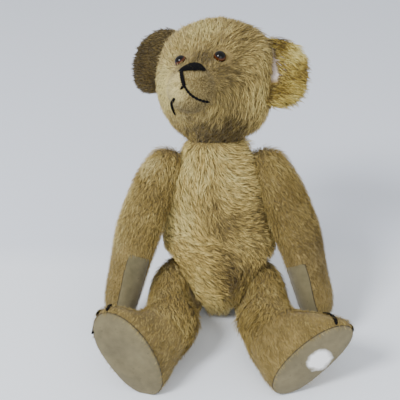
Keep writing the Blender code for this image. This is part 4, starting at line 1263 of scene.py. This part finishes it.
def eyeForm(s):
    # a ball whose pole looks out along the head's surface normal, v rising from the pole
    rows, columns = eye["grid"]
    points, normals = forms["head"]["points"], forms["head"]["normals"]
    away = np.linalg.norm(points - eyeMiddle[s], axis=-1)
    out = Vector(normals.reshape(-1, 3)[away.argmin()])
    polar = np.linspace(0, math.pi, rows)[:, None]
    around = circleAngles(columns)
    ball = np.stack(np.broadcast_arrays(np.sin(polar) * np.cos(around),
                                        np.sin(polar) * np.sin(around), np.cos(polar)), -1)
    matrix = out.to_track_quat("Z", "Y").to_matrix().to_4x4()
    matrix.translation = eyeMiddle[s]
    uvs = np.stack(np.broadcast_arrays(around / (2 * math.pi), polar / math.pi), -1)
    return toWorld(ball * head["eyeRadius"] * mm, matrix), uvs


for s in sides:
    points, uvs = eyeForm(s)
    place(gridPiece(s + "Eye", [points], amberGlass, uvs), "head", "eye_glass", [s + "_eye"])

# face: rays find the place on the head where each stitch lies
rayStart = 200     # how far out they start, clear of the piece


def formTree(form):
    # the form's grid as quads, for rays to hit
    quads = gridQuads(*form["points"].shape[:2])[0]
    return BVHTree.FromPolygons(form["points"].reshape(-1, 3).tolist(), quads.tolist())


headTree = formTree(forms["head"])


def facePoint(across, up):
    # where a line along the head's own +Y, at this place across and up, meets the face
    start = headMatrix @ (Vector((across, -rayStart, up)) * mm)
    where, normal, _, _ = headTree.ray_cast(start, headMatrix.to_3x3() @ Vector((0, 1, 0)))
    normal = normal if normal.dot(start - where) > 0 else -normal
    return np.array(where), np.array(normal)


def smoothPath(path, steps):
    # a cubic B-spline through the doubled ends of a row of points
    path = np.concatenate([path[:1] * 2 - path[1:2], path, path[-1:] * 2 - path[-2:-1]])
    places = np.linspace(0, len(path) - 3, steps)
    places[-1] -= 1e-9
    return splineWeights(places, len(path), False) @ path


threadShape = {"sides": 8, "stepsPerMm": 2.2, "fewestSteps": 16, "flat": 0.6}


def threadGrids(path, normals, thread, steps=None):
    # plies wound round the path: each ply's middle circles it once in the thread's lay, and
    # its round section thins to nothing at both ends
    length = np.linalg.norm(np.diff(path, axis=0), axis=1).sum() / mm
    steps = steps or max(threadShape["fewestSteps"], int(length * threadShape["stepsPerMm"]))
    path, normals = smoothPath(path, steps), unit(smoothPath(normals, steps))
    tangents = unit(np.gradient(path, axis=0))
    across = unit(np.cross(tangents, normals))
    up = np.cross(across, tangents)
    share = np.linspace(0, 1, steps)
    ends = np.clip(np.minimum(share, 1 - share) * length / thread["taper"], 0, 1) ** 0.5
    angle = circleAngles(threadShape["sides"])
    grids = []
    for ply in range(thread["plies"]):
        phase = 2 * math.pi * (ply / thread["plies"] + share * length / thread["lay"])
        offset = thread["spread"] * mm * ends
        middle = (path + across * (offset * np.cos(phase))[:, None]
                  + up * (offset * threadShape["flat"] * np.sin(phase))[:, None])
        radius = (thread["radius"] * mm * ends)[:, None, None]
        grids.append(middle[:, None] + radius * (across[:, None] * np.cos(angle)[:, None]
                                                 + up[:, None] * np.sin(angle)[:, None]))
    return grids


def facePath(places, lift):
    # points on the face, lifted along its normals, and those normals
    hits = [facePoint(*place) for place in places]
    normals = np.array([normal for _, normal in hits])
    return np.array([where for where, _ in hits]) + normals * lift * mm, normals


# nose and mouth: satin stitches side by side, then twisted threads
threads = {"satin": {"radius": 0.62, "plies": 1, "spread": 0.0, "lay": 9.0, "taper": 1.6},
           "middle": {"radius": 1.15, "plies": 3, "spread": 1.1, "lay": 8.0, "taper": 2.0},
           "fine": {"radius": 0.8, "plies": 2, "spread": 0.7, "lay": 7.0, "taper": 3.0},
           "thick": {"radius": 0.85, "plies": 3, "spread": 0.95, "lay": 8.0, "taper": 3.0},
           "seam": {"radius": 0.4, "plies": 1, "spread": 0.0, "lay": 9.0, "taper": 1.0}}
nose = {"chord": ((-11.5, 1.5), (16.5, 4.0)), "rise": 10.2, "sag": 0.6, "over": 0.3,
        "bowPower": 0.8, "threads": 26, "margin": 0.015, "points": 7, "steps": 20, "lift": 1.0}
# each stitch's thread and its places across and up on the face, mm
mouth = {
    "nose_to_mouth_stitch": ("middle", [(-7.6, 3.4), (-6.4, 0.0), (-5.2, -3.6), (-3.9, -6.8),
                                        (-2.6, -9.8), (-1.4, -13)]),
    "left_mouth_stitch": ("fine", [(-2.0, -11.6), (0.4, -14.6), (2.6, -17.6), (6.0, -20.8),
                                   (10.2, -23.3), (14.8, -25), (18.6, -25.6), (21.8, -25.4)]),
    "right_mouth_stitch": ("thick", [(-1.6, -11.4), (-2.8, -13.0), (-4.0, -14.6), (-5.4, -16.2)]),
    "right_mouth_corner_stitch": ("thick", [(-11.0, -24.6), (-17.6, -28.6), (-21.4, -33.0),
                                            (-21.8, -38.6)]),
}
mouthLift = 0.9


def bow(share, rise):
    # a shallow arch over the nose's chord: rise times sin(pi * share) to the bow's power
    start, end = np.array(nose["chord"])
    run = end - start
    left = np.array((-run[1], run[0])) / np.linalg.norm(run)
    return start + run * share + left * rise * math.sin(math.pi * share) ** nose["bowPower"]


def noseGrids():
    # satin threads side by side, each from the sagging lower edge up to the arch
    grids = []
    for k in range(nose["threads"]):
        share = nose["margin"] + (1 - 2 * nose["margin"]) * k / (nose["threads"] - 1)
        low = bow(share, nose["sag"] - nose["over"])
        high = bow(share, nose["rise"] + nose["over"])
        places = [low + (high - low) * t for t in np.linspace(0, 1, nose["points"])]
        path, normals = facePath(places, nose["lift"])
        grids += threadGrids(path, normals, threads["satin"], nose["steps"])
    return grids


place(gridPiece("noseThreads", noseGrids(), blackThread), "head", "black_thread",
      ["nose_stitching"])
for node, (thread, places) in mouth.items():
    grids = threadGrids(*facePath(places, mouthLift), threads[thread])
    place(gridPiece(node + "_thread", grids, blackThread), "head", "black_thread", [node])
print("face")

# claws: each stitch's degrees outward from the middle toe, and its low and high end above the
# sole; the edge is the lowest height where a ray still meets the foot
claws = {"right": [(-4, 3, 16), (12, 3, 15), (33, -2.5, 10)], "left": [(-20, 3, 31), (8, 2, 16)],
         "edge": 0.2, "points": 7, "toe": -20, "lift": 0.6, "spill": 0.3}


def clawPath(s, surface, degrees, low, high):
    # rays towards the middle of the toe meet the foot at even heights, and what is lower than
    # the sole's edge is carried on down over the felt
    matrix = legMatrix[s]
    turned = Matrix.Rotation(sides[s] * math.radians(pose["footTwist"][s]), 3, "Z")
    root = Vector((sides[s] * pose["footTwistCentre"][0], pose["footTwistCentre"][1], 0))
    root += turned @ Vector((0, claws["toe"], 0))
    outward = Matrix.Rotation(sides[s] * math.radians(degrees), 3, "Z")
    inward = turned @ outward @ Vector((0, 1, 0))
    along = matrix.to_3x3() @ inward
    downSole = matrix.to_3x3() @ Vector((0, 0, -1))
    path, normals = [], []
    for height in np.linspace(low, high, claws["points"]):
        root.z = pose["soleHeight"] + max(height, claws["edge"])
        start = matrix @ ((root - inward * rayStart) * mm)
        where, normal, _, _ = surface.ray_cast(start, along)
        normal = normal if normal.dot(along) < 0 else -normal
        over = max(claws["edge"] - height, 0)
        lift = normal * (claws["lift"] + claws["spill"] * over)
        path.append(where + (lift + downSole * over) * mm)
        normals.append(normal)
    return np.array(path), np.array(normals)


for s in sides:
    legTree = formTree(forms[s + "_leg"])
    for number, plan in enumerate(claws[s], 1):
        node = f"{s}_claw_stitch_{number}"
        grids = threadGrids(*clawPath(s, legTree, *plan), threads["thick"])
        place(gridPiece(node + "_thread", grids, blackThread), s + "_leg", "black_thread", [node])
print("claws")

# seams: a fine dark thread round each felt sole and paw pad
seam = {"offset": 0.5, "soleSteps": 150, "padSteps": 120, "lap": 2}
for s in sides:
    sole = soleForm(s)
    rim = sole[len(sole) // 2]
    rim = np.concatenate([rim, rim[:seam["lap"]]])
    away = unit(rim - rim.mean(0))
    grids = threadGrids(rim + away * seam["offset"] * mm, away, threads["seam"],
                        seam["soleSteps"])
    place(gridPiece(s + "SoleSeam", grids, seamThread), s + "_leg", "black_thread")
    pad = padForm(s)[2:-2]
    left, right = pad[:, 0], pad[:, pad.shape[1] // 2]
    rim = np.concatenate([right, left[::-1], right[:seam["lap"]]])
    facing = np.array(padMatrix(s).to_3x3().col[2])
    grids = threadGrids(rim + facing * seam["offset"] * mm, np.tile(facing, (len(rim), 1)),
                        threads["seam"], seam["padSteps"])
    place(gridPiece(s + "PadSeam", grids, seamThread), s + "_arm", "black_thread")
print("seams")

# what the covers hide keeps its shape and gets its own finish
woodWool = plainMaterial("woodWool", [(0.3, (150, 120, 74)), (0.7, (214, 188, 136))], 0.9,
                         grain=180.0, bump=0.9, stretch=(1.0, 1.0, 6.0))
greyCard = plainMaterial("greyCard", [(0.3, (128, 118, 98)), (0.7, (160, 150, 128))], 0.85)
pinSteel = plainMaterial("pinSteel", [(0.3, (120, 116, 110)), (0.7, (176, 172, 166))], 0.38,
                         grain=400.0, bump=0.1, Metallic=1.0)
finishes = {"stuffing": woodWool, "disc": greyCard, "washer": pinSteel, "pin": pinSteel,
            "shank": pinSteel}
for nodeName in frame["nodes"]:
    for word, finish in finishes.items():
        if nodeName.endswith(word):
            bpy.data.objects[nodeName].material_slots[0].material = finish
print("hidden parts")

# stage: a pale floor that turns softly greyer behind, and soft daylight from the upper left
stage = {"floor": (0.88, 0.93, 1.0), "far": (0.79, 0.84, 0.93), "farEdge": (0.07, 0.13),
         "world": (0.90, 0.91, 0.93), "worldStrength": 0.97, "size": 6.0,
         "key": {"at": (-1.25, -1.3, 1.75), "size": 0.7, "power": 55},
         "fill": {"at": (0.4, -1.9, 0.8), "size": 1.5, "power": 12}}


def makeFloor():
    # one big quad, its grey set by how far back it lies
    half = stage["size"] / 2
    corners = np.array([(-half, -half, 0), (half, -half, 0), (half, half, 0), (-half, half, 0)])
    material, tree, shader = newMaterial("paleFloor", 0.8)
    far = between(tree, splitAxes(tree, objectPlace(tree))["Y"], *stage["farEdge"])
    colour = mixColours(tree, far, (*stage["floor"], 1), (*stage["far"], 1))
    tree.links.new(colour, shader.inputs["Base Color"])
    floor = makeMesh("floor", corners, np.array([[0, 1, 2, 3]]), material=material)


def makeLight(name, options):
    # a round lamp at its place, turned to the camera's target
    data = bpy.data.lights.new(name, "AREA")
    data.shape = "DISK"
    data.size = options["size"]
    data.energy = options["power"]
    lamp = bpy.data.objects.new(name, data)
    lamp.location = options["at"]
    aim = Vector(camera["target"]) - Vector(options["at"])
    lamp.rotation_euler = aim.to_track_quat("-Z", "Y").to_euler()
    bpy.context.scene.collection.objects.link(lamp)


makeFloor()
makeLight("keyLight", stage["key"])
makeLight("fillLight", stage["fill"])
world = bpy.data.worlds.new("daylight")
world.use_nodes = True
setInputs(world.node_tree.nodes["Background"], {"Color": (*stage["world"], 1),
                                                "Strength": stage["worldStrength"]})
bpy.context.scene.world = world
print("stage")
